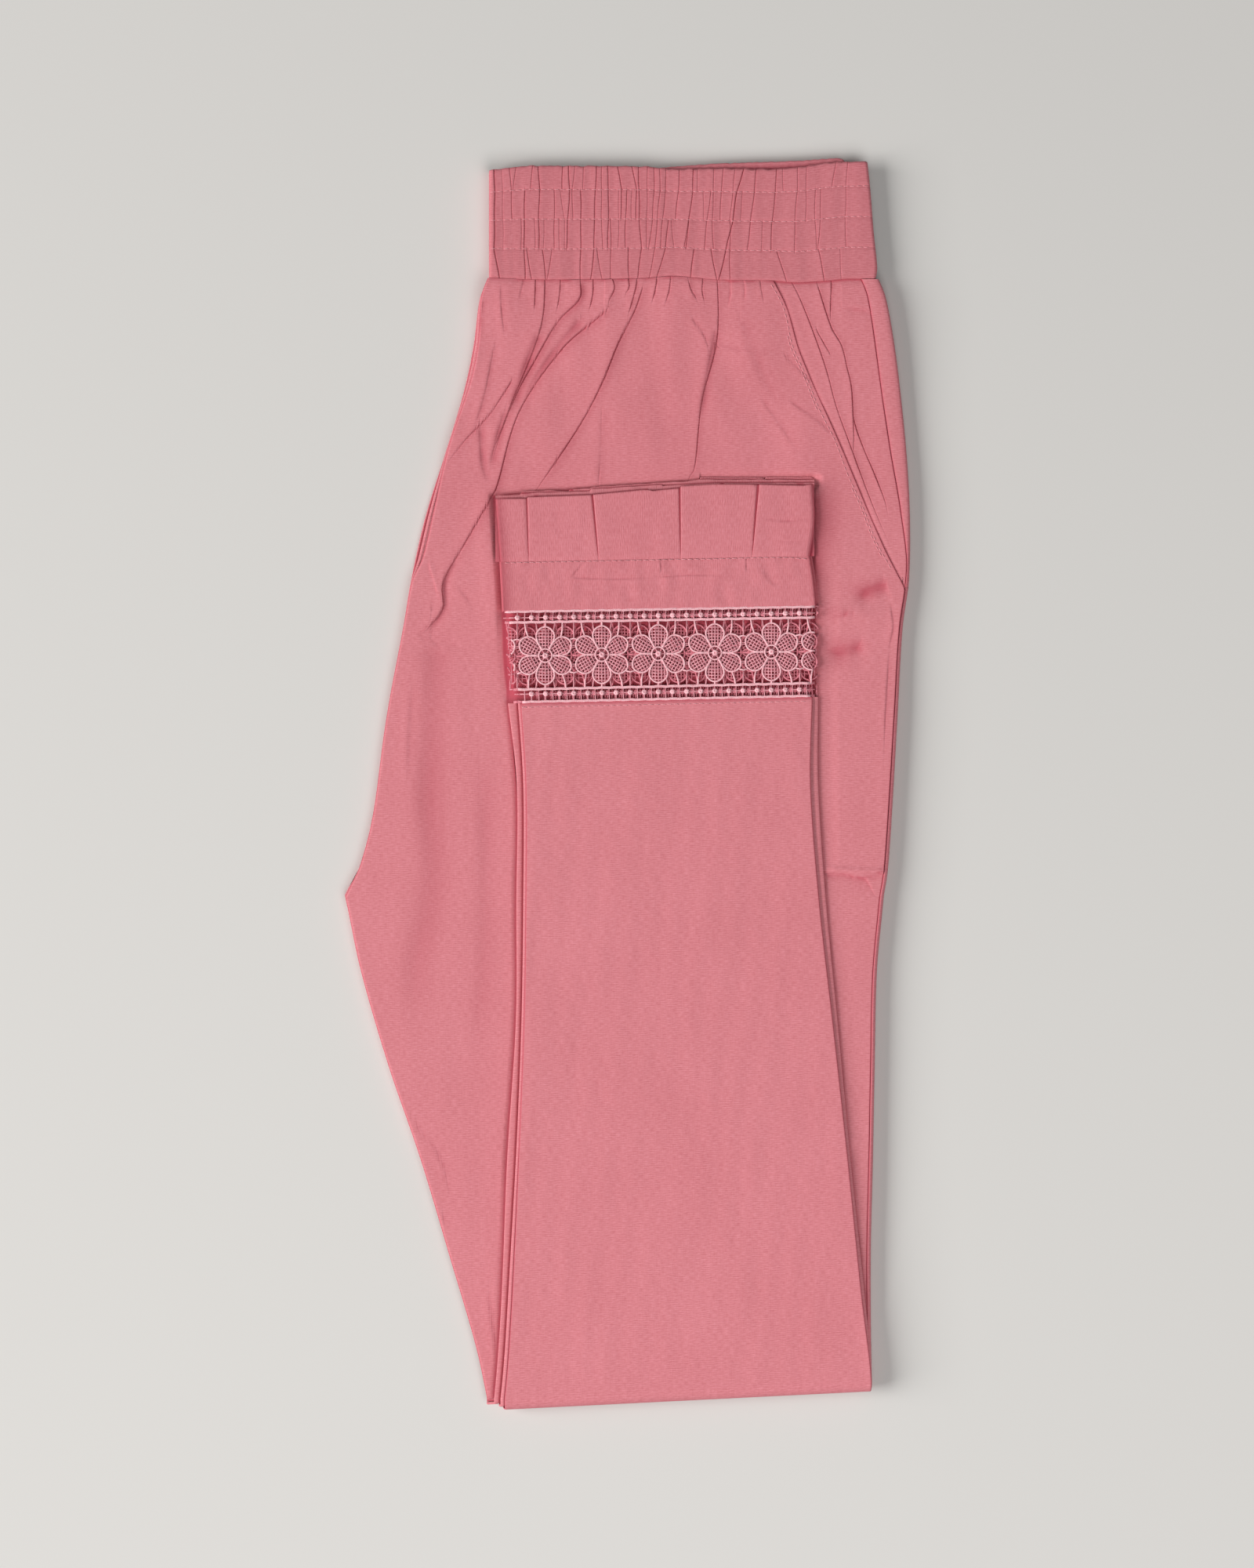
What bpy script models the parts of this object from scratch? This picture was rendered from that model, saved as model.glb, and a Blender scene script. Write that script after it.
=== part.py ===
"""Straight pull-on pants with a gathered waist, folded in half and then up at the knee.

The pants lie on a surface and are seen from above, with +Y towards the waistband and +Z up.
The wearer's left leg lies on the right one, the side seams are at +X and the crotch is at -X.
Both legs are turned up at the knee, so a panel runs from the waist down to the knee, round
it, and back up to the lace above the hem. Sizes are in millimetres, and the meshes in metres.
"""

import math
from collections import namedtuple

import bmesh
import bpy

MM = 0.001
WELD_DISTANCE = 0.01 * MM

# Walls and gaps
CLOTH = 1.2
SEAM_GAP = 0.3
HALF_GAP = SEAM_GAP / 2
EDGE_ROUND = 0.45
EDGE_TRIM = 0.3 * CLOTH

# The line at the knee that every panel is turned round
TURN_Z = 5.6
TURN_Y = -278.9
TURN_SLOPE = 0.050
TURN_STEPS = 6
SLOPE_START_Y = -150.0

# Distance of each layer's two faces from the turning line
Layer = namedtuple("Layer", "inner outer")
LEFT_FRONT = Layer(0.2, 0.2 + CLOTH)
BACKS = Layer(LEFT_FRONT.outer + SEAM_GAP, LEFT_FRONT.outer + SEAM_GAP + 2 * CLOTH)
RIGHT_FRONT = Layer(BACKS.outer + SEAM_GAP, BACKS.outer + SEAM_GAP + CLOTH)

# Silhouette of the thighs, from the waist to the crotch point and on to the knee
Width = namedtuple("Width", "y left right")
HIP_WIDTHS = (
    Width(232.0, -64.0, 115.4),
    Width(223.2, -67.7, 118.8),
    Width(201.6, -70.6, 122.8),
    Width(180.0, -75.2, 125.6),
    Width(151.2, -83.9, 128.5),
    Width(122.4, -92.9, 130.0),
    Width(93.6, -99.4, 129.6),
    Width(72.0, -103.0, 126.7),
    Width(28.8, -110.9, 124.2),
    Width(-14.4, -117.0, 121.7),
    Width(-36.0, -122.4, 120.2),
    Width(-44.6, -126.2, 119.2),
    Width(-50.4, -130.1, 118.1),
)
THIGH_WIDTHS = (
    Width(-50.4, -130.1, 118.1),
    Width(-57.6, -128.5, 117.4),
    Width(-86.4, -122.4, 114.8),
    Width(-129.6, -109.8, 113.8),
    Width(-172.8, -95.0, 113.0),
    Width(-216.0, -82.1, 112.0),
    Width(-259.2, -69.5, 112.2),
    Width(-290.0, -63.0, 113.0),
)

# How far the top front stays inside the silhouette: at the crotch side, where the layers
# under it show, and at the side seam, which the back panel wraps
Inset = namedtuple("Inset", "y crotch_side seam_side")
FRONT_INSETS = (
    Inset(232.0, 0.3, 8.2),
    Inset(194.0, 2.3, 9.0),
    Inset(156.0, 0.7, 7.7),
    Inset(124.0, 3.3, 4.2),
    Inset(104.0, 3.4, 1.8),
    Inset(92.0, 0.5, 1.7),
    Inset(-40.0, 0.3, 2.0),
    Inset(-290.0, 0.3, 2.0),
)
FLOOR_SEAM_INSET = 2.2

# Edges of the turned-up calves, the right leg lying on the left one
Calf = namedtuple("Calf", "y right_front_left right_front_right left_leg_left left_leg_right")
CALF_WIDTHS = (
    Calf(40.0, -49.0, 85.0, -56.2, 87.8),
    Calf(0.0, -46.4, 84.2, -51.8, 87.8),
    Calf(-54.0, -46.4, 88.2, -52.0, 91.4),
    Calf(-108.0, -47.2, 94.3, -52.2, 96.6),
    Calf(-172.0, -49.7, 101.3, -56.2, 102.6),
    Calf(-234.0, -52.6, 107.6, -58.7, 109.0),
    Calf(-267.0, -54.7, 111.6, -60.8, 112.0),
    Calf(-290.0, -57.0, 113.0, -63.0, 113.0),
)
CALF_SEAM_WRAP = 1.9
CALF_EDGE_INSET = 0.5

# Edges of the back panels: how far a plain edge wraps its neighbour, how high a rim stands, how
# deep the notch between two layers is, and the shape of a rim's rounding
PLAIN_WRAP = 1.4
RIM = 1.1
RIM_STEP = 0.15
RIM_ROUND = 0.7
RIM_FALL = 0.4
EDGE_TUCK = 0.1
EDGE_FALL = 0.65
NOTCH_DEPTH = 1.1
PEEK_SHARE = 0.4
KNEE_LEFT = -58.9

# Rows across the turned-up legs: height at x = 0 and slope
CrossLine = namedtuple("CrossLine", "y slope")
LACE_BOTTOM = CrossLine(38.1, 0.0215)
LACE_TOP = CrossLine(79.9, 0.0167)
FRILL_SEAM = CrossLine(102.9, 0.0180)

# Waist seam and upper edges of the waistband's front and back
EdgeHeight = namedtuple("EdgeHeight", "x seam front_top back_top")
WAIST_EDGES = (
    EdgeHeight(-66.0, 232.2, 281.2, 280.4),
    EdgeHeight(-54.0, 231.7, 282.6, 281.6),
    EdgeHeight(-45.7, 231.3, 283.5, 282.4),
    EdgeHeight(-33.5, 231.1, 283.5, 282.4),
    EdgeHeight(7.6, 231.8, 283.2, 282.6),
    EdgeHeight(21.6, 232.8, 282.0, 283.6),
    EdgeHeight(41.4, 231.1, 282.3, 285.0),
    EdgeHeight(66.6, 230.7, 282.0, 285.9),
    EdgeHeight(78.0, 229.9, 282.8, 286.3),
    EdgeHeight(94.3, 230.9, 285.1, 287.4),
    EdgeHeight(98.8, 231.4, 285.3, 287.3),
    EdgeHeight(101.5, 231.6, 285.4, 284.4),
    EdgeHeight(118.0, 231.5, 285.5, 284.4),
)
WAIST_Y = 231.5
SEAM_FADE = 16.0

# Waistband: its walls hold the elastic, and the gathers stand on the upper one
BAND_WALL = 2.0
BAND_BACK_WALL = 2.3
BAND_TOP_Z = 2 * BAND_WALL + 2 * BAND_BACK_WALL + 2 * SEAM_GAP
BAND_LEFT = -63.2
BAND_CORNER = 0.9
BAND_INNER_CORNER = 0.8
BAND_LIP = 1.3
BAND_LIP_INNER = 0.4
BAND_EDGE_ROUND = 0.7
BAND_LEAN = 4.0
BAND_LEAN_START_X = 20.0
BAND_LEAN_SPAN = 60.0
BAND_SHARES = (0.0, 0.03, 0.12, 0.21, 0.27, 0.33, 0.40, 0.47, 0.53, 0.59, 0.66, 0.73)
BAND_SHARES += (0.79, 0.85, 0.92, 0.97, 1.0)
STITCH_ROWS = (0.27, 0.53, 0.79)
STITCH_PINCH = 0.62
STITCH_WIDTH = 0.035
BandEdge = namedtuple("BandEdge", "share right")
BAND_RIGHT = (
    BandEdge(0.0, 114.1),
    BandEdge(0.1, 114.8),
    BandEdge(0.4, 113.2),
    BandEdge(0.77, 111.6),
    BandEdge(1.0, 110.3),
)
Gather = namedtuple("Gather", "x rise")
GATHERS = (
    Gather(-60.8, 0.95),
    Gather(-53.6, 0.70),
    Gather(-46.8, 0.85),
    Gather(-40.3, 0.75),
    Gather(-32.8, 0.80),
    Gather(-27.0, 0.60),
    Gather(-20.9, 0.90),
    Gather(-14.4, 0.70),
    Gather(-8.3, 0.85),
    Gather(-1.4, 0.60),
    Gather(5.0, 0.80),
    Gather(12.2, 0.75),
    Gather(18.0, 0.90),
    Gather(23.8, 0.70),
    Gather(29.5, 0.60),
    Gather(36.0, 0.85),
    Gather(42.8, 0.75),
    Gather(48.6, 1.00),
    Gather(57.2, 0.65),
    Gather(66.6, 0.70),
    Gather(77.4, 0.60),
    Gather(86.8, 0.55),
    Gather(95.0, 0.50),
    Gather(104.0, 0.40),
)
GatherPoint = namedtuple("GatherPoint", "share rise")
GATHER_SHAPE = (
    GatherPoint(0.0, 0.0),
    GatherPoint(0.22, 0.75),
    GatherPoint(0.55, 1.0),
    GatherPoint(0.84, 0.65),
)

# Top edge of the waistband's two inner layers: how far it lies under their highest point, at
# shares of their thickness
BAND_BACK_END = 1.0
BAND_BACK_ENDS = (100.2, 108.4, 109.4)
BAND_BACK_SEAM_GAP = 0.6
BAND_BACK_TRIM = 0.8
BackEdge = namedtuple("BackEdge", "drop share")
BACK_TOP_SHAPE = (
    BackEdge(0.8, 0.0),
    BackEdge(0.0, 0.225),
    BackEdge(0.1, 0.425),
    BackEdge(1.2, 0.5),
    BackEdge(0.1, 0.575),
    BackEdge(0.0, 0.775),
    BackEdge(0.8, 1.0),
)

# Hip: the top layers swell towards the gathered waist and lie flat under the turned-up hems
HIP_FLAT_Y = 141.0
HIP_FULL_Y = 226.0
HIP_RISE = 3.5
HIP_PUFF = 0.9
HIP_MAX_RELIEF = 1.7
STACK_LEFT = -60.0
STACK_RIGHT = 90.0
STACK_TOP = 140.0
PUFF_FADE = 9.0
PUFF_END_Y = 62.0

# Main folds, as troughs through three points, each with a softer ridge at its left. A fold
# fades over the last part of its length.
FOLD_FADE = 0.45
RIDGE_SHARE = 0.45
RIDGE_OFFSET = 2.2
Fold = namedtuple("Fold", "x0 y0 x1 y1 x2 y2 depth half_width")
HIP_FOLDS = (
    Fold(-37.8, 231.0, -45.5, 189.0, -62.3, 147.2, 0.8, 2.6),
    Fold(-21.6, 228.0, -42.5, 194.0, -60.1, 157.3, 0.9, 2.8),
    Fold(-10.1, 217.8, -52.2, 163.8, -86.0, 90.4, 0.9, 2.6),
    Fold(6.8, 229.3, -11.5, 184.0, -41.0, 138.0, 0.9, 2.4),
    Fold(41.4, 230.0, 40.0, 190.0, 29.5, 143.0, 0.9, 2.4),
    Fold(28.0, 231.0, 28.6, 226.0, 32.8, 220.0, 0.7, 1.8),
    Fold(-69.5, 206.0, -72.0, 178.0, -83.0, 150.0, 0.5, 2.4),
    Fold(-67.0, 170.0, -75.0, 148.0, -90.0, 116.0, 0.7, 2.6),
    Fold(-72.0, 92.0, -84.0, 82.0, -92.0, 64.0, 0.6, 2.8),
    Fold(54.0, 214.0, 60.0, 190.0, 72.0, 168.0, 0.35, 3.2),
)
SEAM_GATHERS = (
    Fold(-54.0, 232.0, -55.0, 226.0, -57.0, 216.0, 0.55, 1.8),
    Fold(-47.0, 232.0, -46.5, 226.0, -48.0, 214.0, 0.55, 1.8),
    Fold(-31.0, 232.0, -31.5, 226.0, -30.0, 214.0, 0.50, 1.8),
    Fold(-16.5, 232.0, -17.0, 226.0, -19.0, 214.0, 0.65, 1.8),
    Fold(-11.0, 232.0, -11.5, 226.0, -13.0, 219.0, 0.55, 1.6),
    Fold(-4.3, 232.0, -5.0, 227.0, -8.0, 218.0, 0.65, 1.8),
    Fold(1.5, 232.0, 0.5, 227.0, -2.0, 219.0, 0.55, 1.6),
    Fold(13.0, 232.0, 13.0, 227.0, 12.0, 216.0, 0.50, 1.8),
    Fold(20.0, 232.0, 19.5, 227.0, 18.0, 218.0, 0.60, 1.8),
    Fold(35.5, 232.0, 36.0, 227.0, 35.0, 218.0, 0.50, 1.8),
    Fold(48.0, 232.0, 48.0, 227.0, 47.0, 217.0, 0.45, 1.8),
    Fold(57.0, 232.0, 57.5, 227.0, 57.0, 219.0, 0.35, 1.8),
)
POCKET_FOLDS = (
    Fold(71.6, 232.0, 79.6, 212.0, 96.0, 178.0, 0.7, 2.0),
    Fold(87.8, 232.0, 99.0, 196.0, 104.0, 154.0, 0.8, 2.2),
    Fold(104.0, 172.0, 114.5, 140.0, 121.0, 108.0, 0.7, 2.2),
)

# Slanted pocket opening of the front, from the waist down to the side seam
SlantPoint = namedtuple("SlantPoint", "y x")
POCKET_SLANT = (
    SlantPoint(232.0, 67.0),
    SlantPoint(219.2, 73.1),
    SlantPoint(197.3, 79.6),
    SlantPoint(157.3, 97.2),
    SlantPoint(109.1, 117.7),
    SlantPoint(90.0, 127.4),
    SlantPoint(60.0, 142.0),
)
POCKET_END_Y = 99.0
POCKET_OVERLAP = 20.0
POCKET_DROP = 0.5
POCKET_DROP_HALF = 3.0
POCKET_PUFF = 0.7
POCKET_BAG_Y = -39.6
POCKET_BAG_RISE = 0.7
POCKET_BAG_CLEAR = 2.0
POCKET_BAG_SOFT = 5.0
POCKET_BAG_HALF = 2.2

# Lace: flowers of six petals between two ladders of cord, with its wide gaps cut through
LACE_PITCH = 25.9
LACE_FLOWER_Y = 59.7
LACE_FLOWER_X = 14.4
LACE_RIM = 1.4
LaceStrip = namedtuple("LaceStrip", "left_bottom left_top right_bottom right_top shift")
RIGHT_FRONT_STRIP = LaceStrip(-49.0, -53.8, 85.0, 86.6, 0.0)
RIGHT_BACK_STRIP = LaceStrip(-50.6, -55.0, 86.4, 88.2, 9.0)
LEFT_STRIP = LaceStrip(-54.0, -56.5, 88.0, 88.4, 17.5)
FLOWER_COUNT = 12
GapCorner = namedtuple("GapCorner", "x y")
VALLEY_GAP = (
    GapCorner(9.4, 14.2),
    GapCorner(16.5, 14.2),
    GapCorner(16.0, 9.3),
    GapCorner(12.95, 8.0),
    GapCorner(9.9, 9.3),
)
PETAL_GAP = (
    GapCorner(2.4, 14.2),
    GapCorner(8.1, 14.2),
    GapCorner(7.7, 9.5),
    GapCorner(4.9, 8.9),
)
LINK_GAP = (
    GapCorner(12.95, 3.2),
    GapCorner(15.4, 0.0),
    GapCorner(12.95, -3.2),
    GapCorner(10.5, 0.0),
)

# Hem bands: the top one's edges at shares of its height, and how far the sides of the layers
# under it stand out from it
HemEdge = namedtuple("HemEdge", "share left right")
HEM_EDGES = (HemEdge(0.0, -53.6, 86.4), HemEdge(0.5, -54.6, 85.8), HemEdge(1.0, -55.2, 84.0))
HemReach = namedtuple("HemReach", "outer inner")
HEM_RIGHT = HemReach(-0.4, 1.8)
HEM_LEFT = HemReach(1.2, 2.4)

# Frill: its free edge, its knife pleats and the edges of the frills under it
FRILL_WALL = 1.1
FRILL_SHARES = (0.0, 0.03, 0.35, 0.7, 0.97, 1.0)
FRILL_SEAM_RELIEF = 0.7
FRILL_LEFT_REACH = 0.9
FRILL_END_DROP = 0.35
FRILL_SIDE_DROP = -0.4
FRILL_SIDE_LIFT = 0.3
FIRST_PLEAT_RISE = 0.4
PLEAT_RISE = 1.4
PLEAT_STEP = 0.25
PLEAT_EDGE = 0.6
PLEAT_LAP = 0.45
PLEAT_CREST = 0.55
PLEAT_CREST_SHARE = 0.7
PLEAT_FOOT = 0.25
FRILL_PLEATS = (-45.2, -14.4, 24.8, 59.0)
FRILL_LEFT_SEAM = -55.4
FRILL_LEFT_TOP = -58.3
FRILL_RIGHT_SEAM = 83.8
FRILL_RIGHT_MIDDLE = 86.0
FRILL_RIGHT_TOP = 85.0
UNDER_FRILL_LEFT = 1.6
UNDER_FRILL_RIGHT = 1.4
UNDER_FRILL_COLUMNS = 24
UNDER_FRILL_LEVELS = (0.0, 0.33, 0.36, 0.66, 0.70, 1.0)
UNDER_FRILL_NOTCH = 0.9
UNDER_FRILL_END_LAP = 1.2
FrillEdge = namedtuple("FrillEdge", "x front second third lowest")
FRILL_EDGES = (
    FrillEdge(-62.0, 130.5, 129.5, 129.0, 128.5),
    FrillEdge(-45.2, 131.4, 132.2, 131.2, 130.6),
    FrillEdge(-14.4, 133.1, 133.6, 133.2, 132.4),
    FrillEdge(10.0, 135.0, 134.8, 134.2, 133.6),
    FrillEdge(17.0, 135.4, 137.6, 137.2, 136.0),
    FrillEdge(32.0, 136.6, 138.3, 138.6, 138.8),
    FrillEdge(43.0, 136.9, 137.2, 138.4, 140.8),
    FrillEdge(62.0, 137.2, 137.6, 139.0, 140.9),
    FrillEdge(90.0, 138.0, 138.2, 139.4, 140.9),
)

CLOTH_PINK = (0.645, 0.220, 0.262, 1.0)
BAND_PINK = (0.560, 0.185, 0.220, 1.0)
LACE_PINK = (0.760, 0.390, 0.430, 1.0)
CLOTH_ROUGHNESS = 0.85
LACE_ROUGHNESS = 0.7


def make_material(name, colour, roughness):
    """Make a plain Principled material of one colour."""
    material = bpy.data.materials.new(name)
    material.use_nodes = True
    shader = material.node_tree.nodes["Principled BSDF"]
    shader.inputs["Base Color"].default_value = colour
    shader.inputs["Roughness"].default_value = roughness
    shader.inputs["Metallic"].default_value = 0.0
    return material


def clamp(value, low=0.0, high=1.0):
    """Keep a value between two limits."""
    return max(low, min(high, value))


def ease(value):
    """Go from 0 to 1 with flat ends."""
    share = clamp(value)
    return share * share * (3 - 2 * share)


def mix(first, second, share):
    """Go from one value to another by a share."""
    return first + (second - first) * share


def read(rows, key, column):
    """Read a column of a table at a value of its first column, on a smooth curve.

    The rows rise or fall steadily in their first column. Outside them the end value holds.
    """
    ordered = sorted(rows, key=lambda row: row[0])
    keys = [row[0] for row in ordered]
    values = [getattr(row, column) for row in ordered]
    if key <= keys[0]:
        return values[0]
    if key >= keys[-1]:
        return values[-1]
    index = max(i for i in range(len(keys) - 1) if keys[i] <= key)

    def slope(i):
        low = max(i - 1, 0)
        high = min(i + 1, len(keys) - 1)
        return (values[high] - values[low]) / (keys[high] - keys[low])

    span = keys[index + 1] - keys[index]
    t = (key - keys[index]) / span
    start_pull = slope(index) * span
    end_pull = slope(index + 1) * span
    return (
        (2 * t ** 3 - 3 * t ** 2 + 1) * values[index]
        + (t ** 3 - 2 * t ** 2 + t) * start_pull
        + (3 * t ** 2 - 2 * t ** 3) * values[index + 1]
        + (t ** 3 - t ** 2) * end_pull
    )


def thigh_edge(y, column):
    """Give the silhouette of the thighs at a height, with a corner at the crotch point."""
    rows = HIP_WIDTHS if y > HIP_WIDTHS[-1].y else THIGH_WIDTHS
    return read(rows, y, column)


# Path of the panels

Station = namedtuple("Station", "y slope turn wave")


def lower_stations(heights, wave=0.0):
    """Rows from the waist down to the knee, whose slope grows towards the turn.

    wave is 1 for rows that follow the wavy waist seam, and 0 for straight ones.
    """
    rows = []
    for y in heights:
        share = clamp((SLOPE_START_Y - y) / (SLOPE_START_Y - TURN_Y))
        rows.append(Station(y, TURN_SLOPE * share, 0.0, wave))
    return rows


def turn_stations():
    """Rows round the knee, as half turns about the turning line."""
    return [
        Station(TURN_Y, TURN_SLOPE, math.pi * step / TURN_STEPS, 0.0)
        for step in range(TURN_STEPS + 1)
    ]


def upper_stations(end_y, end_slope, steps):
    """Rows from the knee back up to a cross line of the turned-up leg."""
    rows = []
    for step in range(1, steps + 1):
        share = step / steps
        y = mix(TURN_Y, end_y, share)
        rows.append(Station(y, mix(TURN_SLOPE, end_slope, share), math.pi, 0.0))
    return rows


def seam_shift(y, x):
    """Move a row near the waist along the wavy waist seam."""
    share = clamp((y - WAIST_Y + SEAM_FADE) / SEAM_FADE)
    return (read(WAIST_EDGES, x, "seam") - WAIST_Y) * share


def place(station, x, depth):
    """Put a point at x on a row, at a distance from the turning line."""
    y = station.y + station.slope * x - depth * math.sin(station.turn)
    if station.wave:
        y += station.wave * seam_shift(station.y, x)
    return (x, y, TURN_Z - depth * math.cos(station.turn))


def on_row(station, edge):
    """Find where a sloping row meets an edge that is known by its height."""
    x = edge(station.y)
    for _ in range(3):
        x = edge(station.y + station.slope * x)
    return x


def is_upper(station):
    """Tell whether a row lies on the turned-up calf, past the middle of the turn."""
    return station.turn > math.pi / 2


# Meshes

def add_object(name, bm, material):
    """Turn a bmesh in millimetres into an object with outward faces."""
    bmesh.ops.recalc_face_normals(bm, faces=bm.faces)
    bmesh.ops.scale(bm, vec=(MM, MM, MM), verts=bm.verts)
    mesh = bpy.data.meshes.new(name)
    bm.to_mesh(mesh)
    bm.free()
    mesh.materials.append(material)
    mesh.shade_smooth()
    mesh.set_sharp_from_angle(angle=math.radians(35))
    body = bpy.data.objects.new(name, mesh)
    collection.objects.link(body)
    return body


def band(name, rows, material):
    """Make a wall from rows of paired points on its two faces, closed all round."""
    bm = bmesh.new()
    faces_up = [[bm.verts.new(point) for point in top] for top, _ in rows]
    faces_down = [[bm.verts.new(point) for point in bottom] for _, bottom in rows]
    columns = len(faces_up[0])
    for grid in (faces_up, faces_down):
        for row, following in zip(grid, grid[1:]):
            for i in range(columns - 1):
                bm.faces.new((row[i], row[i + 1], following[i + 1], following[i]))
    for i in (0, columns - 1):
        for j in range(len(rows) - 1):
            side = (faces_up[j][i], faces_up[j + 1][i], faces_down[j + 1][i], faces_down[j][i])
            bm.faces.new(side)
    for j in (0, len(rows) - 1):
        for i in range(columns - 1):
            end = (faces_up[j][i], faces_up[j][i + 1], faces_down[j][i + 1], faces_down[j][i])
            bm.faces.new(end)
    return add_object(name, bm, material)


def loft(name, rings, material):
    """Join closed rings of equally many points and cap both ends."""
    bm = bmesh.new()
    loops = [[bm.verts.new(point) for point in ring] for ring in rings]
    count = len(loops[0])
    for loop, following in zip(loops, loops[1:]):
        for i in range(count):
            j = (i + 1) % count
            bm.faces.new((loop[i], loop[j], following[j], following[i]))
    caps = [bm.faces.new(loops[0]), bm.faces.new(loops[-1])]
    bmesh.ops.triangulate(bm, faces=caps)
    return add_object(name, bm, material)


# Relief of the top front

def line_distance(fold, x, y):
    """Give the signed distance to a fold, and how far along the fold the nearest point is."""
    points = ((fold.x0, fold.y0), (fold.x1, fold.y1), (fold.x2, fold.y2))
    best = (1000.0, 0.0)
    for part, (start, end) in enumerate(zip(points, points[1:])):
        run_x = end[0] - start[0]
        run_y = end[1] - start[1]
        length = math.hypot(run_x, run_y)
        share = clamp(((x - start[0]) * run_x + (y - start[1]) * run_y) / length ** 2)
        gap_x = x - start[0] - share * run_x
        gap_y = y - start[1] - share * run_y
        side = math.copysign(1.0, gap_x * run_y - gap_y * run_x)
        distance = math.hypot(gap_x, gap_y)
        if distance < abs(best[0]):
            best = (side * distance, (part + share) / 2)
    return best


def fold_relief(folds, x, y):
    """Add up the troughs of some folds and the soft ridges beside them."""
    relief = 0.0
    for fold in folds:
        distance, along = line_distance(fold, x, y)
        reach = distance / fold.half_width
        fade = 1.0 - ease((along - 1.0 + FOLD_FADE) / FOLD_FADE)
        relief -= fold.depth * fade * math.exp(-reach * reach)
        ridge = reach + RIDGE_OFFSET
        relief += RIDGE_SHARE * fold.depth * fade * math.exp(-ridge * ridge)
    return relief


def stack_clearance(x, y):
    """Go from 0 under the turned-up hems to 1 at some distance outside them."""
    outside_x = max(STACK_LEFT - x, x - STACK_RIGHT, 0.0)
    outside_y = max(y - STACK_TOP, 0.0)
    return ease(math.hypot(outside_x, outside_y) / PUFF_FADE)


def front_relief(x, y):
    """Height of the top front's outer face above its plain wall."""
    puff = HIP_PUFF * ease((y - PUFF_END_Y) / PUFF_FADE)
    relief = puff + fold_relief(HIP_FOLDS + SEAM_GATHERS, x, y)
    return clamp(relief, 0.0, HIP_MAX_RELIEF) * stack_clearance(x, y)


def bag_ridge(x, y):
    """Ridge on the top front over the lower edge of the hidden pocket bag."""
    reach = (y - POCKET_BAG_Y) / POCKET_BAG_HALF
    inside = ease((x - STACK_RIGHT - POCKET_BAG_CLEAR) / POCKET_BAG_SOFT)
    return POCKET_BAG_RISE * inside * math.exp(-reach * reach)


def hip_lift(y):
    """How far the layers above the floor layer swell towards the gathered waist."""
    return HIP_RISE * ease((y - HIP_FLAT_Y) / (HIP_FULL_Y - HIP_FLAT_Y))


# Edges of each layer

def top_front_left(station):
    """Left edge of the left front, on the thigh or on the turned-up calf."""
    if is_upper(station):
        left = on_row(station, lambda y: read(CALF_WIDTHS, y, "left_leg_left"))
        return left + CALF_EDGE_INSET
    return on_row(
        station, lambda y: thigh_edge(y, "left") + read(FRONT_INSETS, y, "crotch_side")
    )


def top_front_seam(station):
    """Side seam of the left front, inside the edge that the back panel wraps."""
    if is_upper(station):
        right = on_row(station, lambda y: read(CALF_WIDTHS, y, "left_leg_right"))
        return right - CALF_EDGE_INSET
    return on_row(
        station, lambda y: thigh_edge(y, "right") - read(FRONT_INSETS, y, "seam_side")
    )


def floor_front_left(station):
    """Left edge of the right front, on the floor or on the turned-up calf."""
    if is_upper(station):
        return on_row(station, lambda y: read(CALF_WIDTHS, y, "right_front_left"))
    share = clamp((SLOPE_START_Y - station.y) / (SLOPE_START_Y - TURN_Y))
    start = on_row(station, lambda y: thigh_edge(y, "left"))
    return mix(start, CALF_WIDTHS[-1].right_front_left, share ** 3)


def floor_front_seam(station):
    """Side seam of the right front, on the floor or on the turned-up calf."""
    if is_upper(station):
        return on_row(station, lambda y: read(CALF_WIDTHS, y, "right_front_right"))
    return on_row(station, lambda y: thigh_edge(y, "right")) - FLOOR_SEAM_INSET


def slant(y):
    """Pocket opening's x at a height."""
    return read(POCKET_SLANT, y, "x")


# Sections

def panel_columns(left, right, count):
    """Places across a panel, with one close to each edge for its rounding."""
    inner_left = left + EDGE_ROUND
    inner_right = right - EDGE_ROUND
    middle = [mix(inner_left, inner_right, i / count) for i in range(count + 1)]
    return [left] + middle + [right]


def panel_row(station, left, right, layer, count, inner_relief=None, outer_relief=None):
    """Paired points of a panel's inner and outer faces on one row, with rounded edges."""
    columns = panel_columns(left, right, count)
    inner_points = []
    outer_points = []
    for i, x in enumerate(columns):
        at_edge = i in (0, len(columns) - 1)
        trim = EDGE_TRIM if at_edge else 0.0
        inner = layer.inner + trim
        outer = layer.outer - trim
        if inner_relief and not at_edge:
            inner -= inner_relief(x, place(station, x, inner)[1])
        if outer_relief and not at_edge:
            outer += outer_relief(x, place(station, x, outer)[1])
        inner_points.append(place(station, x, inner))
        outer_points.append(place(station, x, outer))
    return inner_points, outer_points


def lifted(layer, y):
    """A layer of the thighs, raised by the swell of the hip."""
    lift = hip_lift(y)
    return Layer(layer.inner - lift, layer.outer - lift)


# Pieces

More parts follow.
